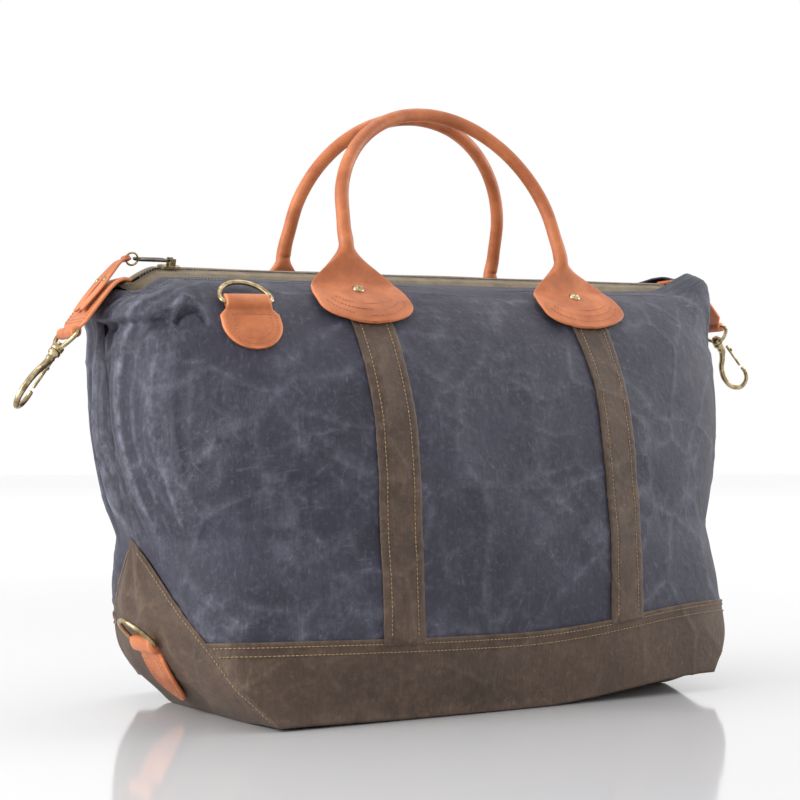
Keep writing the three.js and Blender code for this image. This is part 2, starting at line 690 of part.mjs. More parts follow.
// Leather zip pull: a leaf with a slot down its middle, so that it reads as two arms,
// hung on the ring and lying over the left end tab.
const leafStart = -293;
const leafY = TOP_LEAN - PULL_LIFT * TOP_ROLL;
const leafPath = new THREE.CatmullRomCurve3([
  point3(leafStart + 3, 0, 371.5), point3(-300, 0, 371.5), point3(-309, 0, 365),
  point3(-318, 0, 354), point3(-327, 0, 343), point3(-334, 0, 334.5),
]);
const leaf = sheetSolid({
  nu: 6,
  nv: 16,
  point: (u, v) => {
    const place = leafPath.getPointAt(v);
    const half = 3.5 + 11 * Math.sin(Math.PI * Math.min(v * 0.72 + 0.06, 1)) ** 1.2;
    return point3(place.x, leafY + mix(-1, 1, u) * half, place.z);
  },
  inner: -1.2,
  outer: 1.2,
});
const leafHole = rod(2.2, 30).rotateX(Math.PI / 2).translate(leafStart, leafY, 371.5);
addPart('zip_pull_leather', cut(leaf, leafHole), 'leather');

// One rivet on each arm of the leaf.
const armSeat = leafPath.getPointAt(0.5);
const armSlope = leafPath.getTangentAt(0.5);
sides.forEach(({ name, side }) => {
  const rivet = new THREE.LatheGeometry([
    new THREE.Vector2(0, 0), new THREE.Vector2(2.4, 0), new THREE.Vector2(2, 1),
    new THREE.Vector2(0, 1.5),
  ], 10);
  const mesh = addPart(`zip_pull_rivet_${name}`, rivet, 'brass');
  const out = point3(-armSlope.z, 0, armSlope.x).multiplyScalar(-1);
  mesh.quaternion.setFromUnitVectors(point3(0, 1, 0), out);
  mesh.position.copy(armSeat).addScaledVector(out, 1.2 + 2 * SKIN_GAP);
  mesh.position.y = leafY + side * 7;
});

export default bag;
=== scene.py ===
import math

import bmesh
import bpy
import numpy as np
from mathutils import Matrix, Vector, noise


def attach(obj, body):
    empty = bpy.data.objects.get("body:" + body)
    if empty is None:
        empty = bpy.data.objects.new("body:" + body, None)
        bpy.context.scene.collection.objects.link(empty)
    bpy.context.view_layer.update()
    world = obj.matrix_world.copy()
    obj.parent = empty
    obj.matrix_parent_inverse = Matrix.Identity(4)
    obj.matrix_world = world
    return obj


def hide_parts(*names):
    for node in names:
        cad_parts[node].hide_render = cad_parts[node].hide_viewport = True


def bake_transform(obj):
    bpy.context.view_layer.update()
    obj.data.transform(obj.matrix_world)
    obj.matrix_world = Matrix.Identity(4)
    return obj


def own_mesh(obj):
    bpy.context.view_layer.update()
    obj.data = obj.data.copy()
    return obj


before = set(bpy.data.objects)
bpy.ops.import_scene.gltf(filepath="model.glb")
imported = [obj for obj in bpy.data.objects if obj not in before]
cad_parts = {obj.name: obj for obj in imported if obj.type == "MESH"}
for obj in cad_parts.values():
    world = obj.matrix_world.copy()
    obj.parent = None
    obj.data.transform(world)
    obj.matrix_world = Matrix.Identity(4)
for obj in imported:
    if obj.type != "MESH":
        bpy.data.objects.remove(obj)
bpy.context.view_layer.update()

MM = 0.001

# ---------------------------------------------------------------- camera
CAMERA = {"place": (-0.8246, -1.2476, 0.199), "yaw": 32.5, "pitch": 2.43, "lens": 74.25}


def add_camera():
    data = bpy.data.cameras.new("camera")
    data.lens = CAMERA["lens"]
    data.sensor_width = 36
    camera = bpy.data.objects.new("camera", data)
    bpy.context.scene.collection.objects.link(camera)
    yaw, pitch = math.radians(CAMERA["yaw"]), math.radians(CAMERA["pitch"])
    ahead = Vector((
        math.sin(yaw) * math.cos(pitch),
        math.cos(yaw) * math.cos(pitch),
        math.sin(pitch),
    ))
    camera.location = CAMERA["place"]
    camera.rotation_mode = "QUATERNION"
    camera.rotation_quaternion = ahead.to_track_quat("-Z", "Y")
    bpy.context.scene.camera = camera


add_camera()

# ---------------------------------------------------------------- driving dimensions, as the frame's
BAND_HEIGHT = 64
GUSSET_HEIGHT = 144
BASE_HALF_DEPTH = 133
TOP_HEIGHT = 371
TOP_LEAN = 7
TOP_ROLL = 0.35
ZIP_SLOPE = 0.035
ZIP_HEIGHT = 374
ZIP_HALF_LENGTH = 286
STRAP_X = 115
STRAP_WIDTH = 38
STRAP_THICKNESS = 2
CLOTH = 1.6
LEATHER = 3
NECK_HEIGHT = 392
NECK_HALF_DEPTH = 56
NECK_RADIUS = 6.5
HANDLE_TOP = 521
HANDLE_TOP_HALF_GAP = 10
HANDLE_TAB = {"bottom": 319, "half_width": 44, "widest": 343, "leave": 352}
RING_INNER = 39
RING_HEIGHT = 27
RING_SEAT = 5.4
WIRE = 2
LOOP_WIRE = 1.8
FOLD_PLAY = 1.8
END_DROOP = 14
CORNER_LIFT = {"front_left": 3, "front_right": 17, "back_left": 17, "back_right": 14}

# Height, half length, half depth and plan exponent of the body, floor to zip.
PROFILE = np.array([
    (0, 222, 133, 2.6), (30, 248, 138, 2.6), (64, 262, 141, 2.6), (105, 277, 143, 2.6),
    (144, 287, 142, 2.6), (178, 299, 139, 2.6), (213, 305, 135, 2.7), (250, 309, 128, 2.8),
    (288, 311, 115, 3.0), (325, 312, 94, 3.4), (350, 311, 67, 4.4), (364, 306, 41, 6.0),
    (371, 300, 17.5, 8.0),
], float)


# ---------------------------------------------------------------- curves
def catmull(points, t, closed=False):
    """Points of a centripetal Catmull-Rom curve at parameters t from 0 to 1."""
    points = np.asarray(points, float)
    t = np.asarray(t, float)
    count = len(points)
    spans = count if closed else count - 1
    place = np.clip(t, 0, 1) * spans
    span = np.minimum(np.floor(place).astype(int), spans - 1)
    w = (place - span)[..., None]
    if closed:
        around = np.concatenate([points[-1:], points, points[:2]])
    else:
        before, after = 2 * points[0] - points[1], 2 * points[-1] - points[-2]
        around = np.concatenate([before[None], points, after[None]])
    p0, p1, p2, p3 = (around[span + k] for k in range(4))
    pairs = ((p0, p1), (p1, p2), (p2, p3))
    steps = [((b - a) ** 2).sum(-1, keepdims=True) ** 0.25 for a, b in pairs]
    d1 = np.where(steps[1] < 1e-4, 1, steps[1])
    d0 = np.where(steps[0] < 1e-4, d1, steps[0])
    d2 = np.where(steps[2] < 1e-4, d1, steps[2])
    t1 = d1 * ((p1 - p0) / d0 - (p2 - p0) / (d0 + d1) + (p2 - p1) / d1)
    t2 = d1 * ((p2 - p1) / d1 - (p3 - p1) / (d1 + d2) + (p3 - p2) / d2)
    square = (-3 * p1 + 3 * p2 - 2 * t1 - t2) * w**2
    cube = (2 * p1 - 2 * p2 + t1 + t2) * w**3
    return p1 + t1 * w + square + cube


def even_path(points, count):
    """The same path with count points at even steps."""
    points = np.asarray(points, float)
    lengths = np.linalg.norm(np.diff(points, axis=0), axis=1)
    travelled = np.concatenate([[0], np.cumsum(lengths)])
    wanted = np.linspace(0, travelled[-1], count)
    return np.stack([np.interp(wanted, travelled, points[:, k]) for k in range(3)], 1)


def path_length(points):
    return np.linalg.norm(np.diff(points, axis=0), axis=1).sum()


def unit(vectors):
    return vectors / np.maximum(np.linalg.norm(vectors, axis=-1, keepdims=True), 1e-9)


def smooth(x):
    x = np.clip(x, 0, 1)
    return x * x * (3 - 2 * x)


def mix(a, b, share):
    return a + (b - a) * share


# ---------------------------------------------------------------- body surface
DENSE = np.linspace(0, 1, 2001)
PROFILE_CURVE = catmull(PROFILE[:, [1, 2, 0]], DENSE)
PROFILE_POWER = np.interp(DENSE * (len(PROFILE) - 1), range(len(PROFILE)), PROFILE[:, 3])


def profile_at(t):
    """Half length, half depth, height and plan exponent at profile parameter t."""
    columns = [*PROFILE_CURVE.T, PROFILE_POWER]
    return [np.interp(t, DENSE, column) for column in columns]


def at_height(z):
    return np.interp(z, PROFILE_CURVE[:, 2], DENSE)


def corner_depth(z):
    share = np.clip(z / GUSSET_HEIGHT, 0, 1)
    return BASE_HALF_DEPTH * (1 - share**1.3)


def corner_lift(x, y):
    lengthwise = smooth(np.abs(x) / 225)
    across = smooth((np.abs(y) - 55) / 67)
    front = np.where(x < 0, CORNER_LIFT["front_left"], CORNER_LIFT["front_right"])
    back = np.where(x < 0, CORNER_LIFT["back_left"], CORNER_LIFT["back_right"])
    return lengthwise * across * np.where(y < 0, front, back)


def droop(x, z):
    """How far the top's left end hangs under its leather."""
    return END_DROOP * smooth((-x - 262) / 34) * smooth((z - 300) / 70)


def settle(x, y, z):
    """Puts a point of the symmetrical body in its settled place: corners up, top leaning."""
    rise = z / TOP_HEIGHT
    lifted = z + corner_lift(x, y) * (1 - 0.7 * smooth(rise))
    roll = TOP_ROLL * y * np.exp(-((y / 30) ** 2)) * rise**12
    height = lifted + ZIP_SLOPE * x * rise**4 + roll - droop(x, z)
    return np.stack([x, y + TOP_LEAN * rise**2, height], -1)


def panel_point(side, x, t):
    length, depth, z, power = profile_at(t)
    corner = corner_depth(z)
    across = np.clip(np.abs(x) / length, 0, 1)
    bulge = (1 - across**power) ** (1 / power)
    return settle(x, side * (corner + (depth - corner) * bulge), z)


def panel_at(side, s, t):
    length, _, _, power = profile_at(t)
    angle = (np.pi / 2) * np.clip(1 - np.abs(s), 0, 1) ** 1.25
    across = np.cos(angle) ** (2 / power)
    return panel_point(side, np.sign(s) * across * length, t)


def gusset_point(end, w, t):
    length, _, z, _ = profile_at(t)
    corner = corner_depth(z)
    bow = 10 * np.sin(np.pi * z / GUSSET_HEIGHT) * (1 - w * w)
    return settle(end * (length + bow), corner * w, z)


BAND_T = at_height(BAND_HEIGHT)
FLOOR_SHARE = 0.5


def base_point(s, v):
    """The olive base in one strip: v runs down the front band, over the floor and up."""
    wall = (1 - FLOOR_SHARE) / 2
    front = panel_at(-1, s, mix(BAND_T, 0, np.clip(v / wall, 0, 1)))
    back = panel_at(1, s, mix(0, BAND_T, np.clip((v - 1 + wall) / wall, 0, 1)))
    edge = panel_at(-1, s, np.zeros_like(v))
    across = np.clip((v - wall) / FLOOR_SHARE, 0, 1)
    floor = settle(edge[..., 0], mix(edge[..., 1], -edge[..., 1], across), np.zeros_like(v))
    on_front, on_back = (v <= wall)[..., None], (v >= 1 - wall)[..., None]
    return np.where(on_front, front, np.where(on_back, back, floor))


# ---------------------------------------------------------------- folds and creases of the canvas
def field(points, scale, function):
    """A noise function over an array of points."""
    flat = points.reshape(-1, 3) * scale
    values = np.array([function(Vector(p)) for p in flat])
    return values.reshape(points.shape[:-1])


def cell_edges(point):
    """0 on the borders between random cells, rising inside them."""
    distances = noise.voronoi(point)[0]
    return distances[1] - distances[0]


def ridges(points, cell, width, seed):
    """1 along a net of sharp creases, 0 between; cell is their spacing, width their breadth."""
    shifted = points + field_shift(points, cell * 0.9) * cell * 0.22 + seed * 37.0
    return np.exp(-field(shifted, 1 / cell, cell_edges) / width)


def field_shift(points, scale):
    flat = points.reshape(-1, 3) / scale
    values = np.array([noise.noise_vector(Vector(p)) for p in flat])
    return values.reshape(points.shape)


def relief(points, amount=1.0):
    """Height of the canvas's soft folds above its smooth surface, and how worn each point is."""
    waves = field(points, 1 / 95, noise.noise) * 2.6 + field(points + 500, 1 / 42, noise.noise) * 1.1
    patch = smooth(field(points + 900, 1 / 70, noise.noise) * 1.6 + 0.45)
    large = ridges(points, 78, 0.055, 1)
    small = ridges(points, 34, 0.07, 2) * patch
    height = waves + large * 1.0 + small * 0.55
    wear = np.clip(large * 0.55 + small * 0.5, 0, 1)
    return height * amount, wear * amount


def under_ring_tab(points):
    """0 where a shoulder-strap tab is sewn flat on the canvas, 1 away from it."""
    x, z = points[..., 0], points[..., 2]
    away = np.hypot((np.abs(x) - 222) / 30, (z - 320) / 30)
    return np.where(x * (points[..., 1] - TOP_LEAN) > 0, smooth((away - 0.9) / 0.45), 1)


def end_folds(points):
    """Upright folds where the panels gather at the end seams, deepest at the left."""
    x, z = points[..., 0], points[..., 2]
    y = points[..., 1] - TOP_LEAN * (z / TOP_HEIGHT) ** 2
    length = profile_at(at_height(z))[0]
    reach = np.where(x < 0, 36, 30)
    near = np.exp(-(np.clip(length - np.abs(x), 0, None) / reach) ** 2)
    wander = field(points * (1, 1, 0.35), 1 / 60, noise.noise)
    across = y / 11 + 2.2 * wander + np.sin(z / 47) * 0.9
    seam = np.exp(-((y / 4) ** 2))
    upright = smooth((z - 120) / 60) * (1 - smooth((z - 345) / 30))
    wave = np.cos(across * 1.9)
    fine = np.cos(across * 5.1 + 3 * wander)
    depth = np.where(x < 0, 1.8, 1.7)
    height = near * upright * (depth * wave + 0.55 * fine - 1.4 * seam)
    wear = near * upright * (smooth(wave * 1.4 - 0.3) * 0.7 + smooth(fine * 1.5 - 0.4) * 0.6)
    return height, wear


def left_fold(points):
    """The top's left front corner folds over itself: height, and its rubbed edge."""
    x, z = points[..., 0], points[..., 2]
    above = z - (316 + 18 * smooth((x + 300) / 50))
    zone = smooth((-x - 258) / 14)
    lip = smooth(above / 4) * np.exp(-((np.clip(above - 6, 0, None) / 22) ** 2))
    crease = np.exp(-(((above + 3) / 5) ** 2))
    arch = np.hypot((x + 268) / 11, (z - 312) / 17)
    crown = smooth((z - 311) / 6)
    hollow = crown * np.exp(-(((arch - 0.9) / 0.14) ** 2))
    rim = crown * np.exp(-(((arch - 1.2) / 0.16) ** 2))
    flap = np.exp(-(((x + 254) / 3.5) ** 2) - ((z - 327) / 11) ** 2)
    height = zone * (6.5 * lip - 3 * crease) - 2.6 * hollow + 2.4 * rim + 2.4 * flap
    wear = zone * np.exp(-(((above - 3) / 4) ** 2)) * 0.8 + rim * 0.7 + flap * 0.6
    return height, wear


def ear(points, side):
    """The top corners: the left ones droop outwards, the right ones stand up."""
    x, z = points[..., 0], points[..., 2]
    depth = points[..., 1] - TOP_LEAN * (z / TOP_HEIGHT) ** 2
    apart = smooth(np.abs(depth) / 14)
    left = smooth((-x - 236) / 58) * smooth((z - 306) / 36) * apart
    right = smooth((x - 250) / 55) * smooth((z - 325) / 45)
    corner = smooth((x - 262) / 34) * smooth((z - 322) / 44) * apart * (side < 0)
    moved = points.copy()
    moved[..., 2] += 11 * right - 3 * left + 9 * corner
    moved[..., 0] += 3 * right - (7 if side > 0 else 0) * left + 8 * corner
    moved[..., 1] += side * (6 * left + 2 * right * apart)
    return moved


def top_sag(points):
    """The upper edge dips a little between the handles and beside them."""
    x, z = points[..., 0], points[..., 2]
    high = smooth((z - 330) / 45)
    dips = np.exp(-((x - 20) / 60) ** 2) * 3 + np.exp(-((x - 190) / 34) ** 2) * 3.5
    moved = points.copy()
    moved[..., 2] -= high * dips * 0.5
    return moved


def normals_of(surface, a, b, turn, step=2e-3):
    """Outward unit normals of surface(a, b)."""
    along = surface(a + step, b) - surface(a - step, b)
    up = surface(a, b + step) - surface(a, b - step)
    return unit(np.cross(along, up)) * turn


def draped(surface, a, b, turn, lift=0.0, amount=1.0, ends=True, side=0):
    """Points of the canvas with its folds, lifted off it, with their wear and normals."""
    smooth_points = surface(a, b)
    normal = normals_of(surface, a, b, turn)
    height, wear = relief(smooth_points, amount)
    if ends:
        fold_height, fold_wear = end_folds(smooth_points)
        height = height + fold_height
        wear = np.maximum(wear, fold_wear)
    if side < 0:
        corner_height, corner_wear = left_fold(smooth_points)
        height = height + corner_height
        wear = np.maximum(wear, corner_wear)
    if side:
        height = height * under_ring_tab(smooth_points)
    edge_free = smooth((smooth_points[..., 2] - 2) / 24)
    height = height * mix(0.15, 1, edge_free)
    near_zip = 1 - smooth((smooth_points[..., 2] - 352) / 16)
    height = height * mix(0.25, 1, near_zip)
    points = smooth_points + normal * (height + lift)[..., None]
    if side:
        points = top_sag(ear(points, side))
    return points, wear, normal


# ---------------------------------------------------------------- meshes
def link(name, mesh, material):
    piece = bpy.data.objects.new(name, mesh)
    bpy.context.scene.collection.objects.link(piece)
    mesh.materials.append(material)
    return piece


def mesh_piece(name, points, faces, material):
    """A smooth-shaded mesh from points in millimetres."""
    mesh = bpy.data.meshes.new(name)
    mesh.from_pydata((np.asarray(points).reshape(-1, 3) * MM).tolist(), [], faces)
    mesh.polygons.foreach_set("use_smooth", [True] * len(mesh.polygons))
    mesh.update()
    return link(name, mesh, material)


def grid_faces(rows, columns, turn=1, start=0):
    j, i = np.meshgrid(np.arange(rows - 1), np.arange(columns - 1), indexing="ij")
    a = (start + j * columns + i).ravel()
    quads = np.stack([a, a + 1, a + columns + 1, a + columns], 1)
    return (quads if turn > 0 else quads[:, ::-1]).tolist()


def set_values(piece, name, values):
    attribute = piece.data.attributes.new(name, "FLOAT", "POINT")
    attribute.data.foreach_set("value", np.asarray(values, np.float32).ravel())


def set_cloth_map(piece, points):
    """A map in metres along the threads, for the weave."""
    rows, columns = points.shape[:2]
    across = np.linalg.norm(np.diff(points, axis=1), axis=2)
    upward = np.linalg.norm(np.diff(points, axis=0), axis=2)
    u = np.concatenate([np.zeros((rows, 1)), np.cumsum(across, 1)], 1)
    u = u - u[:, [columns // 2]]
    v = np.concatenate([np.zeros((1, columns)), np.cumsum(upward, 0)], 0)
    layer = piece.data.uv_layers.new(name="cloth")
    loops = np.zeros(len(piece.data.loops), int)
    piece.data.loops.foreach_get("vertex_index", loops)
    values = np.stack([u.ravel(), v.ravel()], 1) * MM
    layer.data.foreach_set("uv", values[loops].astype(np.float32).ravel())


def thicken(piece, thickness):
    """Gives a sheet its thickness, behind its face."""
    solid = piece.modifiers.new("thickness", "SOLIDIFY")
    solid.thickness = thickness * MM
    solid.offset = -1
    solid.use_even_offset = False


def cloth_piece(name, points, wear, material, turn=1, thickness=CLOTH):
    """A sheet of cloth on a grid of points."""
    piece = mesh_piece(name, points, grid_faces(*points.shape[:2], turn), material)
    set_values(piece, "wear", wear)
    set_cloth_map(piece, points)
    thicken(piece, thickness)
    return piece


def frames_along(points, closed=False):
    """Two directions across a path at each point, turned as little as possible."""
    if closed:
        ahead = unit(np.roll(points, -1, 0) - np.roll(points, 1, 0))
    else:
        ahead = unit(np.gradient(points, axis=0))
    start = np.cross(ahead[0], (0, 0, 1) if abs(ahead[0][2]) < 0.9 else (0, 1, 0))
    first = [unit(start)]
    for direction in ahead[1:]:
        carried = first[-1] - direction * (first[-1] @ direction)
        first.append(unit(carried))
    first = np.array(first)
    return first, np.cross(ahead, first)


def tube_points(points, radius, facets, closed=False):
    first, second = frames_along(points, closed)
    radius = np.broadcast_to(np.asarray(radius, float), (len(points),))[:, None, None]
    angle = np.linspace(0, 2 * np.pi, facets, endpoint=False)[None, :, None]
    ring = first[:, None] * np.cos(angle) + second[:, None] * np.sin(angle)
    return points[:, None] + ring * radius


def tube_faces(rings, facets, closed=False):
    faces = []
    for i in range(rings if closed else rings - 1):
        here, after = i * facets, (i + 1) % rings * facets
        for k in range(facets):
            beside = (k + 1) % facets
            faces.append([here + k, here + beside, after + beside, after + k])
    if not closed:
        faces.append(list(reversed(range(facets))))
        faces.append([(rings - 1) * facets + k for k in range(facets)])
    return faces


POINT_RADIUS = 0.02            # the end of a turned shape, so that its faces keep an area


class Shells:
    """Closed shells gathered into one mesh."""

    def __init__(self):
        self.points = []
        self.faces = []
        self.count = 0

    def add(self, points, faces):
        points = np.asarray(points).reshape(-1, 3)
        self.faces += [[self.count + corner for corner in face] for face in faces]
        self.points.append(points)
        self.count += len(points)

    def tube(self, points, radius, facets=16, closed=False):
        rings = tube_points(np.asarray(points, float), radius, facets, closed)
        self.add(rings, tube_faces(len(points), facets, closed))

    def lathe(self, profile, place, axis, facets=32, closed=False):
        """A turned shape: (radius, height) pairs from axis to axis, or closed round a hole."""
        axis = unit(np.asarray(axis, float))
        across = unit(np.cross(axis, (0, 0, 1) if abs(axis[2]) < 0.9 else (1, 0, 0)))
        beside = np.cross(axis, across)
        angle = np.linspace(0, 2 * np.pi, facets, endpoint=False)
        circle = np.outer(np.cos(angle), across) + np.outer(np.sin(angle), beside)
        rings = [
            np.asarray(place) + axis * height + max(radius, POINT_RADIUS) * circle
            for radius, height in profile
        ]
        self.add(np.array(rings), tube_faces(len(profile), facets, closed))

    def piece(self, name, material):
        made = mesh_piece(name, np.concatenate(self.points), self.faces, material)
        face_outwards(made)
        return made

    def settled(self, name, material, body, slot, *nodes):
        return settle_piece(self.piece(name, MATERIALS[material]), body, slot, *nodes)


def sheet_shell(front, back):
    """Points and faces of a closed sheet between two grids of points."""
    rows, columns = front.shape[:2]
    layer = rows * columns
    faces = grid_faces(rows, columns, 1) + grid_faces(rows, columns, -1, layer)
    rim = (
        list(range(columns - 1))
        + [j * columns + columns - 1 for j in range(rows - 1)]
        + [(rows - 1) * columns + i for i in range(columns - 1, 0, -1)]
        + [j * columns for j in range(rows - 1, 0, -1)]
    )
    faces += [[b, a, a + layer, b + layer] for a, b in zip(rim, rim[1:] + rim[:1])]
    return np.concatenate([front.reshape(-1, 3), back.reshape(-1, 3)]), faces


def face_outwards(piece):
    mesh = bmesh.new()
    mesh.from_mesh(piece.data)
    bmesh.ops.recalc_face_normals(mesh, faces=mesh.faces)
    mesh.to_mesh(piece.data)
    mesh.free()


STITCH = {"pitch": 3.6, "length": 2.7, "radius": 0.42, "facets": 6}
LEATHER_STITCH = {"pitch": 3.0, "length": 2.2, "radius": 0.3, "facets": 6}


def stitch_line(shells, path, normals, stitch=STITCH):
    """Stitches along a path on a surface; each dives into it at both ends."""
    count = max(int(path_length(path) / stitch["pitch"]), 1)
    travelled = np.concatenate([[0], np.cumsum(np.linalg.norm(np.diff(path, axis=0), axis=1))])
    total = travelled[-1]

    def at(distance):
        wanted = np.clip(distance, 0, total)
        place = np.array([np.interp(wanted, travelled, path[:, k]) for k in range(3)])
        out = unit(np.array([np.interp(wanted, travelled, normals[:, k]) for k in range(3)]))
        return place, out

    for index in range(count):
        middle = (index + 0.5) * total / count
        points = []
        for share in np.linspace(-1, 1, 5):
            place, out = at(middle + share * stitch["length"] / 2)
            points.append(place + out * stitch["radius"] * (0.75 - 1.3 * share * share))
        radius = stitch["radius"] * np.array([0.6, 1, 1.05, 1, 0.6])
        shells.tube(np.array(points), radius, stitch["facets"])


# ---------------------------------------------------------------- material nodes
class Nodes:
    """Short ways to add nodes to one material."""

    def __init__(self, name):
        self.material = bpy.data.materials.new(name)
        self.material.use_nodes = True
        self.tree = self.material.node_tree
        self.shader = self.tree.nodes["Principled BSDF"]
        self.places = self.add("ShaderNodeTexCoord").outputs["Object"]

    def add(self, kind, **settings):
        node = self.tree.nodes.new(kind)
        for key, value in settings.items():
            setattr(node, key, value)
        return node

    def feed(self, node, socket, value):
        if isinstance(value, bpy.types.NodeSocket):
            self.tree.links.new(value, node.inputs[socket])
        else:
            node.inputs[socket].default_value = value

    def shape(self, kind, output, vector=None, settings=None, **inputs):
        node = self.add(kind, **(settings or {}))
        self.feed(node, "Vector", self.places if vector is None else vector)
        for socket, value in inputs.items():
            self.feed(node, socket, value)
        return node.outputs[output]

    def noise(self, scale, detail=4.0, roughness=0.6, distortion=0.0, vector=None):
        return self.shape(
            "ShaderNodeTexNoise", "Fac", vector,
            Scale=scale, Detail=detail, Roughness=roughness, Distortion=distortion,
        )

    def stretched(self, x, y, z, vector=None):
        node = self.add("ShaderNodeMapping")
        self.feed(node, "Vector", self.places if vector is None else vector)
        node.inputs["Scale"].default_value = (x, y, z)
        return node.outputs["Vector"]

    def math(self, operation, first, second=0.0, clamp=False):
        node = self.add("ShaderNodeMath", operation=operation, use_clamp=clamp)
        self.feed(node, 0, first)
        self.feed(node, 1, second)
        return node.outputs[0]

    def ramp(self, value, low, high, start=0.0, end=1.0):
        node = self.add("ShaderNodeMapRange", interpolation_type="SMOOTHSTEP")
        self.feed(node, "Value", value)
        self.feed(node, "From Min", low)
        self.feed(node, "From Max", high)
        self.feed(node, "To Min", start)
        self.feed(node, "To Max", end)
        return node.outputs["Result"]

    def blend(self, share, first, second, mode="MIX"):
        node = self.add("ShaderNodeMix", data_type="RGBA", blend_type=mode)
        self.feed(node, 0, share)
        for socket, value in ((6, first), (7, second)):
            self.feed(node, socket, value if isinstance(value, bpy.types.NodeSocket) else (*value, 1))
        return node.outputs[2]

    def value(self, name):
        return self.add("ShaderNodeAttribute", attribute_name=name).outputs["Fac"]

    def bump(self, height, distance, strength=1.0, normal=None):
        node = self.add("ShaderNodeBump")
        self.feed(node, "Height", height)
        self.feed(node, "Distance", distance)
        self.feed(node, "Strength", strength)
        if normal is not None:
            self.feed(node, "Normal", normal)
        return node.outputs["Normal"]

    def finish(self, colour, roughness, normal, **fixed):
        self.feed(self.shader, "Base Color", colour)
        self.feed(self.shader, "Roughness", roughness)
        self.feed(self.shader, "Normal", normal)
        for socket, value in fixed.items():
            self.shader.inputs[socket.replace("_", " ")].default_value = value
        return self.material


def streaks(nodes, turn, seed):
    """Short soft scratches that all run one way."""
    turned = nodes.add("ShaderNodeMapping", vector_type="TEXTURE")
    nodes.feed(turned, "Vector", nodes.places)
    turned.inputs["Location"].default_value = (seed, seed * 1.7, seed * 0.6)
    turned.inputs["Rotation"].default_value = (turn * 0.5, turn, turn * 0.3)
    turned.inputs["Scale"].default_value = (1 / 250, 1 / 250, 1 / 24)
    line = nodes.ramp(nodes.noise(1.0, 5.0, 0.62, 0.5, turned.outputs[0]), 0.56, 0.78)
    gate = nodes.ramp(nodes.noise(13.0 + seed, 4.0, 0.6), 0.46, 0.62)
    return nodes.math("MULTIPLY", line, gate)


def waxed_canvas(name, dark, light, crease, crease_amount):
    nodes = Nodes(name)
    cloud = nodes.ramp(nodes.noise(9.0, 6.0, 0.65), 0.32, 0.68)
    mottle = nodes.ramp(nodes.noise(46.0, 6.0, 0.7, 0.5), 0.36, 0.68)
    speckle = nodes.ramp(nodes.noise(210.0, 4.0, 0.7), 0.5, 0.72)
    base = nodes.blend(cloud, dark, light)
    base = nodes.blend(nodes.math("MULTIPLY", mottle, 0.45), base, light)
    base = nodes.blend(nodes.math("MULTIPLY", speckle, 0.16), base, crease)
    smudge = nodes.ramp(nodes.noise(17.0, 7.0, 0.72, 0.8), 0.54, 0.76, 0.0, 0.2)
    base = nodes.blend(smudge, base, crease)
    lines = streaks(nodes, 0.5, 3.0)
    for turn, seed in ((-0.75, 7.0), (1.35, 12.0), (0.05, 19.0)):
        lines = nodes.math("MAXIMUM", lines, streaks(nodes, turn, seed))
    lines = nodes.math("MULTIPLY", lines, crease_amount * 0.55)
    rubbed = nodes.ramp(nodes.noise(75.0, 5.0, 0.7), 0.3, 0.72)
    worn = nodes.math("MULTIPLY", nodes.value("wear"), rubbed)
    marks = nodes.math("ADD", lines, nodes.math("MULTIPLY", worn, crease_amount), True)
    colour = nodes.blend(marks, base, crease)
    thread_map = nodes.add("ShaderNodeUVMap", uv_map="cloth").outputs[0]
    warp, weft = (
        nodes.shape(
            "ShaderNodeTexWave", "Fac", thread_map, {"bands_direction": direction},
            Scale=330.0, Distortion=0.6, Detail=1.0,
        )
        for direction in ("X", "Y")
    )
    weave = nodes.math("ADD", nodes.math("MULTIPLY", warp, 0.5), nodes.math("MULTIPLY", weft, 0.5))
    shade = nodes.ramp(weave, 0.1, 0.9, 0.86, 1.1)
    fibres = nodes.noise(1.0, 2.0, 0.5, vector=nodes.stretched(900, 60, 60))
    slub = nodes.ramp(fibres, 0.3, 0.7, 0.9, 1.1)
    tone = nodes.add("ShaderNodeHueSaturation")
    nodes.feed(tone, "Color", colour)
    nodes.feed(tone, "Value", nodes.math("MULTIPLY", shade, slub))
    fine = nodes.bump(weave, 0.00025, 0.8)
    crumple = nodes.bump(nodes.noise(60.0, 6.0, 0.62, 0.4), 0.0026, 0.6, fine)
    rough = nodes.ramp(marks, 0.0, 1.0, 0.58, 0.75)
    return nodes.finish(
        tone.outputs[0], rough, crumple,
        Specular_IOR_Level=0.34, Sheen_Weight=0.04, Sheen_Roughness=0.45,
    )


def leather(name, dark, light):
    nodes = Nodes(name)
    cloud = nodes.ramp(nodes.noise(26.0, 5.0, 0.6), 0.32, 0.68)
    pores = nodes.shape("ShaderNodeTexVoronoi", "Distance", None, {"feature": "F1"}, Scale=1500.0)
    wrinkle = nodes.noise(240.0, 5.0, 0.65, 0.8)
    base = nodes.blend(cloud, dark, light)
    base = nodes.blend(nodes.ramp(wrinkle, 0.55, 0.8, 0.0, 0.28), base, dark)
    edge = nodes.value("edge")
    pale = tuple(min(channel * 1.45 + 0.03, 1) for channel in light)
    colour = nodes.blend(nodes.math("MULTIPLY", edge, 0.55), base, pale)
    grain = nodes.bump(pores, 0.00012, 0.5)
    creased = nodes.bump(wrinkle, 0.0004, 0.5, grain)
    soft = nodes.bump(nodes.noise(45.0, 3.0), 0.0012, 0.35, creased)
    rough = nodes.ramp(nodes.noise(90.0, 4.0), 0.3, 0.7, 0.38, 0.55)
    return nodes.finish(colour, rough, soft, Specular_IOR_Level=0.38)


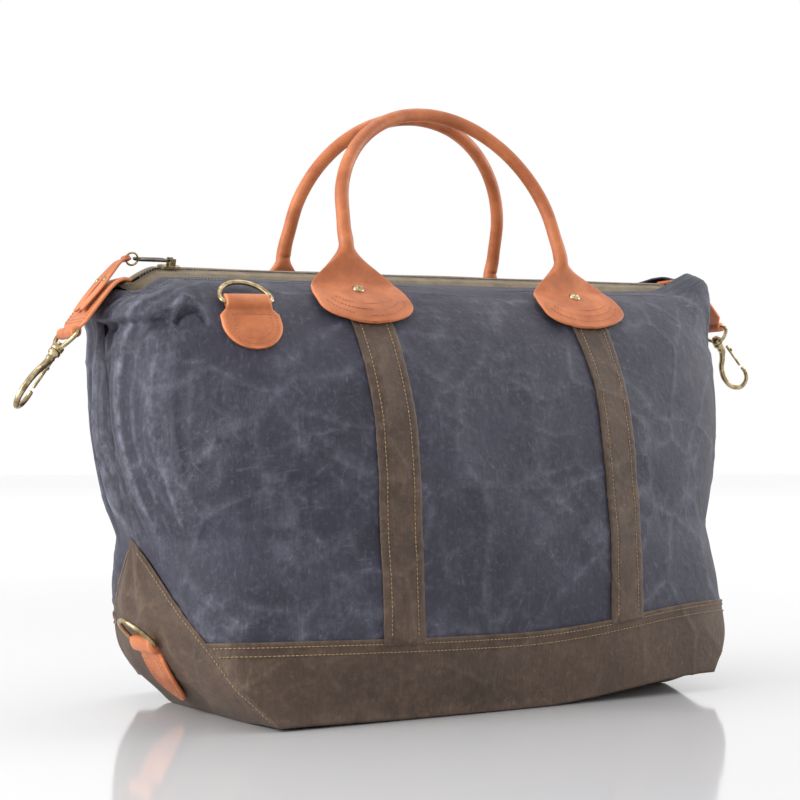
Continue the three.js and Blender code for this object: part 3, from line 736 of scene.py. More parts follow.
def metal(name, bright, tarnish, roughness):
    nodes = Nodes(name)
    cloud = nodes.ramp(nodes.noise(130.0, 5.0, 0.65), 0.36, 0.66)
    specks = nodes.ramp(nodes.noise(620.0, 3.0, 0.6), 0.55, 0.75, 0.0, 0.5)
    base = nodes.blend(cloud, bright, tarnish)
    colour = nodes.blend(specks, base, tarnish)
    rough = nodes.ramp(cloud, 0.0, 1.0, roughness, roughness + 0.2)
    dents = nodes.bump(nodes.noise(300.0, 3.0), 0.00015, 0.5)
    return nodes.finish(colour, rough, dents, Metallic=1.0)


def thread(name, colour):
    nodes = Nodes(name)
    twist = nodes.shape(
        "ShaderNodeTexWave", "Fac", None, {"bands_direction": "DIAGONAL"},
        Scale=520.0, Distortion=1.0,
    )
    fleck = nodes.noise(400.0, 3.0)
    dark = tuple(channel * 0.62 for channel in colour)
    tinted = nodes.blend(nodes.ramp(fleck, 0.35, 0.7), dark, colour)
    return nodes.finish(tinted, 0.62, nodes.bump(twist, 0.0002, 0.7), Sheen_Weight=0.2)


def woven(name, dark, light, threads):
    nodes = Nodes(name)
    ribs, cross = (
        nodes.shape(
            "ShaderNodeTexWave", "Fac", None, {"bands_direction": direction},
            Scale=threads, Distortion=0.4,
        )
        for direction in ("X", "Y")
    )
    weave = nodes.math("MULTIPLY", nodes.math("ADD", ribs, cross), 0.5)
    cloud = nodes.ramp(nodes.noise(60.0, 4.0), 0.3, 0.7)
    base = nodes.blend(cloud, dark, light)
    colour = nodes.blend(nodes.ramp(weave, 0.2, 0.8, 0.0, 0.4), base, dark)
    return nodes.finish(colour, 0.85, nodes.bump(weave, 0.0003, 0.7), Sheen_Weight=0.15)


def make_materials():
    return {
        "navy": waxed_canvas(
            "waxed_navy", (0.017, 0.0165, 0.029), (0.037, 0.036, 0.058), (0.21, 0.215, 0.27), 0.66,
        ),
        "olive": waxed_canvas(
            "waxed_olive", (0.045, 0.027, 0.018), (0.086, 0.053, 0.036), (0.28, 0.195, 0.135), 0.52,
        ),
        "leather": leather("tan_leather", (0.36, 0.098, 0.03), (0.56, 0.18, 0.066)),
        "brass": metal("antique_brass", (0.56, 0.46, 0.27), (0.24, 0.17, 0.085), 0.26),
        "dark_metal": metal("dark_metal", (0.12, 0.095, 0.075), (0.05, 0.035, 0.028), 0.34),
        "gold_thread": thread("gold_thread", (0.42, 0.27, 0.13)),
        "leather_thread": thread("leather_thread", (0.5, 0.2, 0.1)),
        "navy_thread": thread("navy_thread", (0.13, 0.14, 0.18)),
        "tape": woven("zip_tape", (0.16, 0.12, 0.07), (0.27, 0.21, 0.13), 800.0),
        "lining": woven("cotton_lining", (0.4, 0.34, 0.24), (0.55, 0.48, 0.36), 600.0),
    }


MATERIALS = make_materials()
SIDES = {"front": -1, "back": 1}
ENDS = {"left": -1, "right": 1}


def settle_piece(piece, body, slot, *nodes):
    """The piece rides on a body and stands for CAD nodes, which it hides; slot is not used."""
    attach(piece, body)
    if nodes:
        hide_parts(*nodes)
    return piece


# ---------------------------------------------------------------- canvas body
PANEL_UNDERLAP = 7             # a panel runs on this far under the band
LINING_DEPTH = 9.2             # the lining hangs this far inside the canvas


def grid(low_u, high_u, columns, low_v, high_v, rows):
    return np.meshgrid(np.linspace(low_u, high_u, columns), np.linspace(low_v, high_v, rows))


def whole_panel(side):
    """A panel's surface, from its places along and up."""
    return lambda s, t: panel_at(side, s, t)


def whole_gusset(end):
    return lambda w, t: gusset_point(end, w, t)


def sew(name, lines, thread_name, slot, body="bag", stitch=STITCH):
    """One piece of stitching along lines of places and their normals."""
    shells = Shells()
    for path, normals in lines:
        stitch_line(shells, path, normals, stitch)
    shells.settled(name, thread_name, body, slot)


def add_panel(name, side):
    s, t = grid(-1, 1, 380, at_height(BAND_HEIGHT - PANEL_UNDERLAP), 1, 220)
    points, wear, _ = draped(whole_panel(side), s, t, -side, side=side)
    hem = np.exp(-(((1 - t) / 0.012) ** 2))
    worn = np.maximum(wear, hem * 0.4)
    piece = cloth_piece(f"{name}_canvas", points, worn, MATERIALS["navy"], -side)
    settle_piece(piece, "bag", "waxed_navy", f"{name}_panel")


def add_base():
    s, v = grid(-1, 1, 300, 0, 1, 260)
    points, wear, normal = draped(base_point, s, v, -1, lift=1.1, amount=0.75, ends=False)
    lip = np.exp(-((np.minimum(v, 1 - v) / 0.011) ** 2))
    points = points + normal * (lip * 0.9)[..., None]
    ground = smooth((points[..., 2] + 3) / 6)
    points[..., 2] = np.maximum(points[..., 2], 0.05 + 0.2 * ground)
    edge_wear = np.exp(-(((points[..., 2] - 3) / 7) ** 2)) * 0.55
    worn = np.maximum.reduce([wear * 0.9, lip * 0.8, edge_wear])
    piece = cloth_piece("base_canvas", points, worn, MATERIALS["olive"], -1)
    settle_piece(piece, "bag", "waxed_olive", "base_wrap")


def add_gusset(name, end):
    apex = at_height(GUSSET_HEIGHT)
    w, t = grid(-1.0, 1.0, 120, 0.0, apex, 120)
    surface = whole_gusset(end)
    points, wear, normal = draped(surface, w, t, end, lift=1.4, amount=0.8, ends=False)
    folds = np.cos(w * 9 + t * 12 + end) * smooth(1 - np.abs(w)) * 2.2
    free = smooth(t / 0.05) * smooth((apex - t) / 0.06)
    points = points + normal * (folds * free)[..., None]
    points[..., 2] = np.maximum(points[..., 2], 0.1)
    seam = np.exp(-(((1 - np.abs(w)) / 0.04) ** 2))
    worn = np.maximum.reduce([wear, seam * 0.6, smooth(folds / 2.4) * free * 0.5])
    piece = cloth_piece(f"{name}_gusset_canvas", points, worn, MATERIALS["olive"], end)
    settle_piece(piece, "bag", "waxed_olive", f"{name}_end_gusset")


STRAP_TOP = 330
STRAP_SEAM = 7                 # stitch rows in from each edge


def strap_normals(side, x, t):
    def surface(a, b):
        return panel_point(side, a * 100, b)
    return normals_of(surface, x / 100, t, -side)


def on_panel(side, x, t, lift):
    """Points lifted off the draped panel at X and profile parameter t, with normals."""
    smooth_points = panel_point(side, x, t)
    normal = strap_normals(side, x, t)
    height, wear = relief(smooth_points)
    fold_height, fold_wear = end_folds(smooth_points)
    points = smooth_points + normal * (height + fold_height + lift)[..., None]
    return top_sag(ear(points, side)), np.maximum(wear, fold_wear), normal


def add_strap(face, side, label, end):
    x, t = grid(
        end * STRAP_X - STRAP_WIDTH / 2, end * STRAP_X + STRAP_WIDTH / 2, 26,
        at_height(BAND_HEIGHT - 4), at_height(STRAP_TOP), 170,
    )
    across = np.abs(x - end * STRAP_X) / (STRAP_WIDTH / 2)
    rounded = 0.9 * smooth((across - 0.86) / 0.14)
    groove = 0.5 * np.exp(-(((across - 0.63) / 0.06) ** 2))
    crown = 1.9 - rounded - groove
    pucker = 0.25 * np.sin(t * 260) * smooth((across - 0.4) / 0.4)
    points, wear, _ = on_panel(side, x, t, crown + pucker + 0.6)
    crumpled = ridges(points, 17, 0.09, 7 + end)
    height = points[..., 2]
    bent = np.exp(-(((height - 162) / 22) ** 2)) * (0.35 + 0.65 * crumpled)
    worn = np.maximum.reduce([wear * 0.8, smooth((across - 0.84) / 0.16) * 0.55, bent * 0.7])
    name = f"{face}_strap_canvas_{label}"
    piece = cloth_piece(name, points, worn, MATERIALS["olive"], -side, STRAP_THICKNESS * 0.8)
    settle_piece(piece, "bag", "waxed_olive", f"{face}_strap_{label}")


def add_strap_stitching(face, side, label, end):
    rows = np.linspace(at_height(BAND_HEIGHT + 2), at_height(STRAP_TOP - 4), 240)
    lines = []
    for hand in (-1, 1):
        line_x = np.full_like(rows, end * STRAP_X + hand * (STRAP_WIDTH / 2 - STRAP_SEAM))
        path, _, normal = on_panel(side, line_x, rows, 2.15)
        lines.append((path, normal))
    sew(f"{face}_strap_stitching_{label}", lines, "gold_thread", "waxed_olive")


def add_band_stitching(name, side):
    """Two rows along the band's folded top edge."""
    s = np.linspace(-0.93, 0.93, 700)
    lines = []
    for drop in (4, 10.5):
        t = np.full_like(s, at_height(BAND_HEIGHT - drop))
        path, _, normal = draped(
            whole_panel(side), s, t, -side, lift=1.45, amount=0.75, ends=False,
        )
        lines.append((path, normal))
    sew(f"{name}_band_stitching", lines, "gold_thread", "waxed_olive")


def add_gusset_stitching(name, end):
    """A row inside each slanting seam of the end gusset."""
    t = np.linspace(0.01, at_height(GUSSET_HEIGHT - 12), 400)
    depth = np.maximum(corner_depth(profile_at(t)[2]), 1)
    lines = []
    for hand in (-1, 1):
        w = hand * np.clip(1 - 5 / depth, 0, 1)
        path, _, normal = draped(
            whole_gusset(end), w, t, end, lift=1.6, amount=0.8, ends=False,
        )
        lines.append((path, normal))
    sew(f"{name}_gusset_stitching", lines, "gold_thread", "waxed_olive")


def add_lining(name, side):
    s, t = grid(-0.85, 0.85, 90, at_height(12), at_height(338), 60)
    base = panel_at(side, s, t)
    normal = normals_of(whole_panel(side), s, t, -side)
    gathers = np.cos(s * 60 + field(base, 1 / 60, noise.noise) * 4) * 0.6
    points = base + normal * (gathers - LINING_DEPTH)[..., None]
    piece = cloth_piece(f"{name}_cotton", points, np.zeros_like(s), MATERIALS["lining"], -side, 0.6)
    settle_piece(piece, "bag", "cotton_lining", f"{name}_lining")


def build_canvas():
    for name, side in SIDES.items():
        add_panel(name, side)
        add_lining(name, side)
        add_band_stitching(name, side)
        for label, end in ENDS.items():
            add_strap(name, side, label, end)
            add_strap_stitching(name, side, label, end)
    add_base()
    for name, end in ENDS.items():
        add_gusset(name, end)
        add_gusset_stitching(name, end)


build_canvas()


# ---------------------------------------------------------------- handles
def handle_y(side, z):
    share = (z - NECK_HEIGHT) / (HANDLE_TOP - NECK_HEIGHT)
    foot = TOP_LEAN + side * NECK_HALF_DEPTH
    top = TOP_LEAN / 2 + side * HANDLE_TOP_HALF_GAP
    return mix(foot, top, share)


def handle_path(side, count):
    """Middle of the rolled arch from neck to neck."""
    shoulder = NECK_HEIGHT + 20
    points = [(-STRAP_X, NECK_HEIGHT), (-STRAP_X, NECK_HEIGHT + 11)]
    for k in range(13):
        angle = math.pi * k / 12
        height = shoulder + (HANDLE_TOP - shoulder) * math.sin(angle)
        points.append((-(STRAP_X - 1) * math.cos(angle), height))
    points += [(STRAP_X, NECK_HEIGHT + 11), (STRAP_X, NECK_HEIGHT)]
    placed = [(x, handle_y(side, z), z) for x, z in points]
    return even_path(catmull(placed, np.linspace(0, 1, 600)), count)


ROUND = 40                     # points round a section of a handle
TAB_ROUND = 16                 # height of a handle tab's rounded bottom
ON_STRAP = 4.4                 # a handle tab's inner face above the canvas, over the strap
PLAIN_ROWS = 16                # rows of a tab, next to its neck, with no pale edge


def section(half_width, half_thickness, power):
    """Across and outward offsets round a section, from flat strip to round roll."""
    angle = np.linspace(0, 2 * np.pi, ROUND, endpoint=False)
    cos, sin = np.cos(angle), np.sin(angle)
    across = np.sign(cos) * np.abs(cos) ** (2 / power) * half_width
    out = np.sign(sin) * np.abs(sin) ** (2 / power) * half_thickness
    return across, out


def tab_section(side, centre_x, z):
    """One section of a handle tab at height z, wrapped on the panel below the rivet."""
    flare = float(smooth((z - HANDLE_TAB["widest"]) / 47))
    from_bottom = min(max((z - HANDLE_TAB["bottom"]) / TAB_ROUND, 0), 1)
    fan = math.sqrt(max(1 - (1 - from_bottom) ** 2, 0.002))
    half = NECK_RADIUS + (HANDLE_TAB["half_width"] * fan - NECK_RADIUS) * (1 - flare) ** 0.95
    gather = float(smooth((z - 356) / 34))
    half_thickness = mix(LEATHER / 2, NECK_RADIUS * 0.97, gather)
    across, out = section(half, half_thickness, mix(9, 2, gather))
    x = centre_x + across
    leave = HANDLE_TAB["leave"]
    seat = np.full(ROUND, at_height(min(z, leave)))
    middle = mix(ON_STRAP, 3.6, gather) + LEATHER / 2
    points, _, normal = on_panel(side, x, seat, middle)
    if z > leave:
        rise = (z - leave) / (NECK_HEIGHT - leave)
        free_y = handle_y(side, NECK_HEIGHT)
        points[:, 1] = mix(points[:, 1], free_y, math.sin(math.pi / 2 * rise))
        points[:, 2] = mix(points[:, 2], NECK_HEIGHT, rise)
        upright = np.array([0.0, float(side), 0.0])
        normal = unit(mix(normal, upright, smooth(rise * 1.4)))
    cup = np.cos(np.clip(across / max(half, 1), -1, 1) * np.pi / 2) * gather * 0.6
    return points + normal * (out + cup)[:, None]


def thin_sides():
    """1 on the thin sides of a flat section, 0 on its faces."""
    angle = np.linspace(0, 2 * np.pi, ROUND, endpoint=False)
    return np.abs(np.cos(angle)) ** 14


def turn_over(ring):
    """The same section read the other way across, as the arch reaches its far side."""
    return np.roll(ring[::-1], ROUND // 2 + 1, axis=0)


def arch_rings(side, start):
    """Sections of the rolled arch, read the same way round as the section it starts from."""
    middle = handle_path(side, 190)
    ahead = unit(np.gradient(middle, axis=0))
    slant = handle_y(side, HANDLE_TOP) - handle_y(side, NECK_HEIGHT)
    lean = unit(np.array([0.0, slant, HANDLE_TOP - NECK_HEIGHT]))
    outward = unit(np.cross(lean, (1.0, 0.0, 0.0)))
    outward = outward if outward[1] * side > 0 else -outward
    across = np.cross(outward, ahead) * side
    share = np.linspace(0, 1, len(middle))
    radius = 6.0 + 0.5 * np.exp(-((np.minimum(share, 1 - share) / 0.03) ** 2))
    radius = radius + field(middle, 1 / 40, noise.noise) * 0.15
    cos_across, sin_out = section(1, 1, 2)
    arch = [
        place + np.outer(cos_across * size, beside) + np.outer(sin_out * size, outward)
        for place, beside, size in zip(middle, across, radius)
    ]
    near, far = (np.linalg.norm(start[0] - arch[0][k]) for k in (0, ROUND // 2))
    return [turn_over(ring) for ring in arch] if near > far else arch


def handle_piece(name, side):
    """Both tabs and the arch between them as one continuous leather piece."""
    rounded_top = HANDLE_TAB["bottom"] + TAB_ROUND
    heights = np.concatenate([
        HANDLE_TAB["bottom"] + TAB_ROUND * (1 - np.cos(np.linspace(0, np.pi / 2, 14))),
        np.linspace(rounded_top + 1.5, NECK_HEIGHT - 1, 34),
    ])
    left, right = (
        [tab_section(side, end * STRAP_X, z) for z in heights] for end in ENDS.values()
    )
    tail = [turn_over(ring) for ring in reversed(right)]
    rings = np.array(left + arch_rings(side, left[-1])[1:-1] + tail)
    edge = np.zeros((len(rings), ROUND))
    pale_rows = len(heights) - PLAIN_ROWS
    edge[:pale_rows] = thin_sides()
    edge[-pale_rows:] = thin_sides()
    piece = mesh_piece(name, rings, tube_faces(len(rings), ROUND), MATERIALS["leather"])
    set_values(piece, "edge", edge)
    face_outwards(piece)
    return piece


def add_tab_stitching(name, side):
    """Rows that follow the rounded edge of each tab."""
    angle = np.linspace(-1.32, 1.32, 160)
    drop = HANDLE_TAB["widest"] - HANDLE_TAB["bottom"]
    lines = []
    for end in ENDS.values():
        for inset in (5, 10, 15):
            half = HANDLE_TAB["half_width"] - inset
            x = end * STRAP_X + np.sin(angle) * half * 0.98
            z = HANDLE_TAB["widest"] - np.cos(angle) ** 0.8 * (drop - inset)
            path, _, normal = on_panel(side, x, at_height(z), ON_STRAP + LEATHER + 0.05)
            lines.append((path, normal))
    sew(name, lines, "leather_thread", "tan_leather", stitch=LEATHER_STITCH)


RIVET_HEIGHT = 347
RIVET = [
    (0, -1), (5.0, -1), (5.2, 0.3), (4.6, 1.3), (3.2, 1.9), (2.9, 1.5), (2.2, 1.5), (1.6, 2.2),
    (0, 2.5),
]


def add_rivets(face, side):
    for label, end in ENDS.items():
        x, t = np.array([float(end * STRAP_X)]), np.array([at_height(RIVET_HEIGHT)])
        place, _, normal = on_panel(side, x, t, ON_STRAP + LEATHER + 0.1)
        shells = Shells()
        shells.lathe(RIVET, place[0], normal[0])
        shells.settled(
            f"{face}_tab_rivet_{label}", "brass", "bag", "antique_brass",
            f"{face}_handle_rivet_{label}",
        )


def build_handles():
    for face, side in SIDES.items():
        piece = handle_piece(f"{face}_handle_leather", side)
        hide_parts(f"{face}_handle", f"{face}_handle_tab_left", f"{face}_handle_tab_right")
        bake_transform(piece)
        add_tab_stitching(f"{face}_tab_stitching", side)
        add_rivets(face, side)


build_handles()


# ---------------------------------------------------------------- ring tabs and D-rings
NORMAL_SCALE = 50              # brings millimetres to the step that normals_of takes
BAR_BELOW_FOLD = 4.8


def surface_frame(surface, a, z):
    """Place, along, up and outward directions of surface(a, z)."""
    def at(u, v):
        return surface(np.array([float(u)]), np.array([float(v)]))[0]
    along = unit(at(a + 0.5, z) - at(a - 0.5, z))
    up = unit(at(a, z + 0.5) - at(a, z - 0.5))
    out = unit(np.cross(along, up))
    return at(a, z), along, np.cross(out, along), out


def panel_surface(side):
    return lambda a, z: panel_point(side, -side * a, at_height(z))


def end_surface(end):
    return lambda a, z: gusset_point(end, end * a / corner_depth(z), at_height(z))


def d_ring_path():
    half = RING_INNER / 2 + WIRE
    points = [(half * share, 0, 0) for share in (-0.93, -0.5, 0, 0.5, 0.93)]
    for k in range(9):
        angle = math.pi * k / 8
        points.append((half * math.cos(angle), 3 + (RING_HEIGHT - 3) * math.sin(angle), 0))
    return catmull(points, np.linspace(0, 1, 128, endpoint=False), closed=True)


def normals_in_mm(surface, a, z):
    """Outward normals of a surface whose two parameters are in millimetres."""
    def scaled(p, q):
        return surface(p * NORMAL_SCALE, q * NORMAL_SCALE)
    return normals_of(scaled, a / NORMAL_SCALE, z / NORMAL_SCALE, 1)


def add_ring_tab_leather(name, surface, fold, length, half_width, a, lift):
    u, v = grid(-1, 1, 34, 0, 1, 74)
    bottom = np.clip(v / 0.5, 0, 1)
    rounded = np.sqrt(np.maximum(1 - (1 - bottom) ** 2, 0.004))
    half = mix(half_width, RING_INNER / 2 - FOLD_PLAY, smooth((v - 0.64) / 0.18)) * rounded
    place_a, z = a + u * half, mix(fold - length, fold, v)
    base = surface(place_a, z)
    normal = normals_in_mm(surface, place_a, z)
    roll = smooth((v - 0.7) / 0.1)
    dome = 5.4 * roll * np.sqrt(np.clip(1 - ((v - 0.89) / 0.13) ** 2, 0, 1)) ** 0.8
    near_edge = smooth((np.abs(u) - 0.86) / 0.14)
    outer = lift + 1 + LEATHER + dome - 0.7 * near_edge * (1 - roll)
    outer = outer - 0.35 * np.exp(-(((v - 0.685) / 0.016) ** 2))
    front, back = base + normal * outer[..., None], base + normal * (lift + 0.8)
    piece = mesh_piece(f"{name}_tab_leather", *sheet_shell(front, back), MATERIALS["leather"])
    on_edge = np.maximum(near_edge, smooth(1 - v / 0.05)).ravel()
    set_values(piece, "edge", np.concatenate([on_edge, np.ones(u.size)]))
    settle_piece(piece, "bag", "tan_leather", f"{name}_ring_tab")


def add_ring_tab_stitching(name, surface, fold, length, half_width, a, lift):
    """Two closed rows: down one side, round the bottom, up the other and back across."""
    angle = np.linspace(-np.pi / 2, np.pi / 2, 160)
    centre, top = fold - length * 0.5, fold - length * 0.34
    sides = np.linspace(top, centre, 20)[:-1]
    lines = []
    for inset in (4.0, 8.5):
        half = half_width - inset
        across = np.linspace(half, -half, 60)[1:]
        line_a = a + np.concatenate([
            np.full_like(sides, -half), np.sin(angle) * half, np.full_like(sides, half), across,
        ])
        line_z = np.concatenate([
            sides, centre - np.cos(angle) * (length * 0.5 - inset), sides[::-1],
            np.full_like(across, top),
        ])
        normal = normals_in_mm(surface, line_a, line_z)
        lines.append((surface(line_a, line_z) + normal * (lift + 1 + LEATHER), normal))
    sew(
        f"{name}_tab_stitching", lines, "leather_thread", "tan_leather", stitch=LEATHER_STITCH,
    )


def add_d_ring(name, surface, fold, a, tilt):
    centre, along, up, out = surface_frame(surface, a, fold - BAR_BELOW_FOLD)
    turn = math.radians(tilt)
    raised = up * math.cos(turn) + out * math.sin(turn)
    path = d_ring_path()
    placed = centre + out * RING_SEAT + np.outer(path[:, 0], along) + np.outer(path[:, 1], raised)
    ring = Shells()
    ring.tube(placed, WIRE, 20, closed=True)
    ring.settled(
        f"{name}_d_ring_wire", "brass", f"{name}_ring", "antique_brass", f"{name}_d_ring",
    )


def add_ring_tab(name, surface, fold, length, half_width, tilt, a=0.0, lift=0.0):
    """A leather tab round a D-ring's bar, its stitches and the ring."""
    add_ring_tab_leather(name, surface, fold, length, half_width, a, lift)
    add_ring_tab_stitching(name, surface, fold, length, half_width, a, lift)
    add_d_ring(name, surface, fold, a, tilt)


def build_rings():
    for name, side in SIDES.items():
        add_ring_tab(
            name, panel_surface(side), fold=340, length=44, half_width=24, tilt=-10, a=-222.0,
        )
    for name, end in ENDS.items():
        add_ring_tab(
            name, end_surface(end), fold=66, length=52, half_width=20, tilt=24, lift=1.6,
        )


build_rings()


# ---------------------------------------------------------------- zip
ZIP_ALONG = unit(np.array([1, 0, ZIP_SLOPE]))
ZIP_OUT = unit(np.cross(ZIP_ALONG, (0, 1, TOP_ROLL)))
ZIP_ACROSS = np.cross(ZIP_OUT, ZIP_ALONG)
ZIP_PLACE = np.array([0, TOP_LEAN, ZIP_HEIGHT], float)
TAPE_PAST_CHAIN = 13
TOOTH = {"pitch": 2.5, "length": 1.5, "reach": 3.0, "height": 2.3}


def in_zip(x, y, z):
    """World places of points in the zip's own frame."""
    x, y, z = np.broadcast_arrays(*(np.asarray(value, float)[..., None] for value in (x, y, z)))
    return ZIP_PLACE + x * ZIP_ALONG + y * ZIP_ACROSS + z * ZIP_OUT


def on_chain(x, y, z):
    """The same, bent down with the canvas past the slider."""
    points = in_zip(x, y, z)
    points[..., 2] -= droop(points[..., 0], TOP_HEIGHT)
    return points


def bevelled_box(shells, centre, size, bevel):
    """A box in the zip's frame with its long edges taken off."""
    hx, hy, hz = (value / 2 for value in size)
    outline = [
        (-hy + bevel, -hz), (hy - bevel, -hz), (hy, -hz + bevel), (hy, hz - bevel),
        (hy - bevel, hz), (-hy + bevel, hz), (-hy, hz - bevel), (-hy, -hz + bevel),
    ]
    rings = []
    for x, shrink in ((-hx, 0.8), (-hx + bevel, 1), (hx - bevel, 1), (hx, 0.8)):
        ring = [(centre[0] + x, centre[1] + y * shrink, centre[2] + z * shrink) for y, z in outline]
        rings.append(on_chain(*np.array(ring).T))
    shells.add(np.array(rings), tube_faces(len(rings), len(outline)))


def add_teeth(name, side):
    shells = Shells()
    size = (TOOTH["length"], TOOTH["reach"], TOOTH["height"])
    count = int((2 * ZIP_HALF_LENGTH - 12) / TOOTH["pitch"])
    for index in range(count):
        x = (index - count / 2 + 0.5 + side * 0.25) * TOOTH["pitch"]
        bevelled_box(shells, (x, side * 1.55, 0), size, 0.35)
    shells.settled(f"{name}_teeth_row", "dark_metal", "bag", "dark_metal", f"{name}_zip_teeth")


def add_tape(name, side):
    """One side's tape, closing round the end of the chain."""
    reach = ZIP_HALF_LENGTH + TAPE_PAST_CHAIN
    x, y = grid(-reach, reach, 440, 2.4, 18.8, 20)
    stop = smooth((np.abs(x) - ZIP_HALF_LENGTH + 1) / 3)
    closing = np.sqrt(1 - 0.75 * smooth((np.abs(x) - reach + 12) / 12))
    y = mix(y, (y - 2.2) * 1.13, stop) * closing
    wave = np.sin(x / 21) * 0.25 * smooth((y - 5) / 6)
    cord = 0.8 * np.exp(-(((y - 3.6) / 0.9) ** 2))
    points = on_chain(x, side * y, wave + cord + 0.3)
    points[..., 2] -= smooth((y - 10) / 7) * 3.4
    piece = mesh_piece(
        f"{name}_tape_cloth", points, grid_faces(*x.shape, turn=side), MATERIALS["tape"],
    )
    thicken(piece, 0.8)
    settle_piece(piece, "bag", "zip_tape", f"{name}_zip_tape")


def add_topstitching(name, side):
    """Two rows in the canvas beside the tape."""
    s = np.linspace(-0.9, 0.9, 900)
    lines = []
    for height in (367.0, 361.5):
        t = np.full_like(s, at_height(height))
        path, _, normal = draped(whole_panel(side), s, t, -side, lift=0.1, side=side)
        lines.append((path, normal))
    sew(f"{name}_topstitching", lines, "navy_thread", "waxed_navy", stitch=LEATHER_STITCH)


def build_zip():
    for name, side in SIDES.items():
        add_teeth(name, side)
        add_tape(name, side)
        add_topstitching(name, side)


build_zip()

# ---------------------------------------------------------------- slider and pull
SLIDER_X = -254
PIN_X = SLIDER_X + 2
PULL_LIFT = 8.2
PULL_BAR_LENGTH = 32
PULL_RING = {"radius": 5.2, "wire": 0.85}
LEAF = {"start": -293, "z": 371.5, "y": TOP_LEAN - PULL_LIFT * TOP_ROLL, "thickness": 2.2}
LEAF_PATH = [
    (-290, 0, 371.5), (-298, 0, 369), (-308, 0, 358.5), (-318, 0, 346), (-327, 0, 335),
    (-333, 0, 327),
]
LEAF_ROWS = 70
LEAF_RIVET_ROW = 34


def keep_metal(node, material, bevel):
    """A CAD node kept, with its edges taken off."""
    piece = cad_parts[node]
    piece.data.materials.clear()
    piece.data.materials.append(material)
    edges = piece.modifiers.new("edges", "BEVEL")
    edges.width = bevel * MM
    edges.segments = 3
    edges.limit_method = "ANGLE"
    edges.angle_limit = math.radians(32)


def add_pull_ring():
    angle = np.linspace(0, 2 * np.pi, 72, endpoint=False)
    radius = PULL_RING["radius"]
    centre = PIN_X - PULL_BAR_LENGTH + 2 - radius
    x, z = centre + radius * np.cos(angle), PULL_LIFT + radius * np.sin(angle)
    ring = Shells()
    ring.tube(in_zip(x, np.zeros_like(x), z), PULL_RING["wire"], 18, closed=True)
    ring.settled("zip_pull_ring_wire", "brass", "pull_ring", "antique_brass", "zip_pull_ring")


def leaf_arms():
    """The middle of each arm of the pull: path, outward normals and half widths."""
    path = even_path(catmull(LEAF_PATH, np.linspace(0, 1, 300)), LEAF_ROWS)
    tangent = unit(np.gradient(path, axis=0))
    out = np.stack([tangent[:, 2], np.zeros(LEAF_ROWS), -tangent[:, 0]], 1)
    share = np.linspace(0, 1, LEAF_ROWS)
    spread = 3.5 + 11 * np.sin(np.pi * np.minimum(share * 0.72 + 0.06, 1)) ** 1.2
    half = np.minimum(6.2, spread * 0.6) * np.sqrt(mix(0.3, 1, smooth((1 - share) / 0.1)))
    return path, out, np.maximum(spread - half, 2.0), half


def flatten_pull(piece):
    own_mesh(piece)


def add_pull_strap():
    path, out, offset, half = leaf_arms()
    shells = Shells()
    u = np.linspace(-1, 1, 16)
    rounding = 1 - 0.6 * smooth((np.abs(u) - 0.75) / 0.25)
    thick = (LEAF["thickness"] / 2 * rounding)[None, :, None]
    for side in SIDES.values():
        y = LEAF["y"] + side * offset[:, None] + u[None] * half[:, None]
        x, z = (np.repeat(path[:, [k]], len(u), 1) for k in (0, 2))
        middle = np.stack([x, y, z], -1)
        shells.add(*sheet_shell(middle + out[:, None] * thick, middle - out[:, None] * thick))
    fold = np.array([(LEAF["start"], LEAF["y"] + y, LEAF["z"]) for y in np.linspace(-4.2, 4.2, 12)])
    shells.tube(fold, 2.6, 20)
    flatten_pull(shells.settled(
        "zip_pull_strap", "leather", "pull_leather", "tan_leather", "zip_pull_leather",
    ))


def add_pull_rivets():
    path, out, offset, _ = leaf_arms()
    small = [(radius * 0.5, height * 0.6) for radius, height in RIVET]
    facing = out[LEAF_RIVET_ROW]
    for name, side in SIDES.items():
        seat = path[LEAF_RIVET_ROW] + (0, LEAF["y"] + side * offset[LEAF_RIVET_ROW], 0)
        rivet = Shells()
        rivet.lathe(small, seat + facing * LEAF["thickness"] / 2, facing)
        flatten_pull(rivet.settled(
            f"zip_pull_rivet_head_{name}", "brass", "pull_leather", "antique_brass",
            f"zip_pull_rivet_{name}",
        ))


keep_metal("zip_slider", MATERIALS["brass"], 0.45)
keep_metal("zip_pull_bar", MATERIALS["dark_metal"], 0.3)
add_pull_ring()
add_pull_strap()
add_pull_rivets()


# ---------------------------------------------------------------- end tabs and snap hooks
TAB_TUCK = 3.2                 # an end tab starts this much lower, close on the canvas
END_TAB = {
    "start": 292, "thickness": 3.2, "half_width": 23, "fold_radius": 4.7, "rows": 120, "columns": 44,
}
HOOK = {"loop": 16, "collar": 5, "tilt": 36}
BODY_TOP = -HOOK["loop"] - HOOK["collar"] / 2 - 0.4
END_PLACES = {
    "left": {"lift": 0, "spin": 57.5, "rise": -7, "bar": (48, -48)},
    "right": {"lift": 11, "spin": -32.5, "rise": 7.2, "bar": (50, -57.5)},
}
SHANK = [
    (0, 7.8), (2.9, 7.8), (3.4, 7.3), (3.4, 6.2), (3.0, 5.8), (1.8, 5.8), (1.8, 0), (4.6, 0),
    (5.1, -0.5), (5.1, -2.6), (4.4, -3.4), (3.2, -4.5), (3.7, -6), (3.8, -7.2), (3.3, -9),
    (2.9, -12), (0, -12),
]
COLLAR = [(2.3, -2.5), (4.5, -2.5), (5.1, -1.9), (5.1, 1.9), (4.5, 2.5), (2.3, 2.5)]
CROOK = [
    (0, -9), (-3, -16), (-9, -26), (-11, -38), (-8, -49), (0, -54), (8, -50), (11, -42), (10, -35),
]


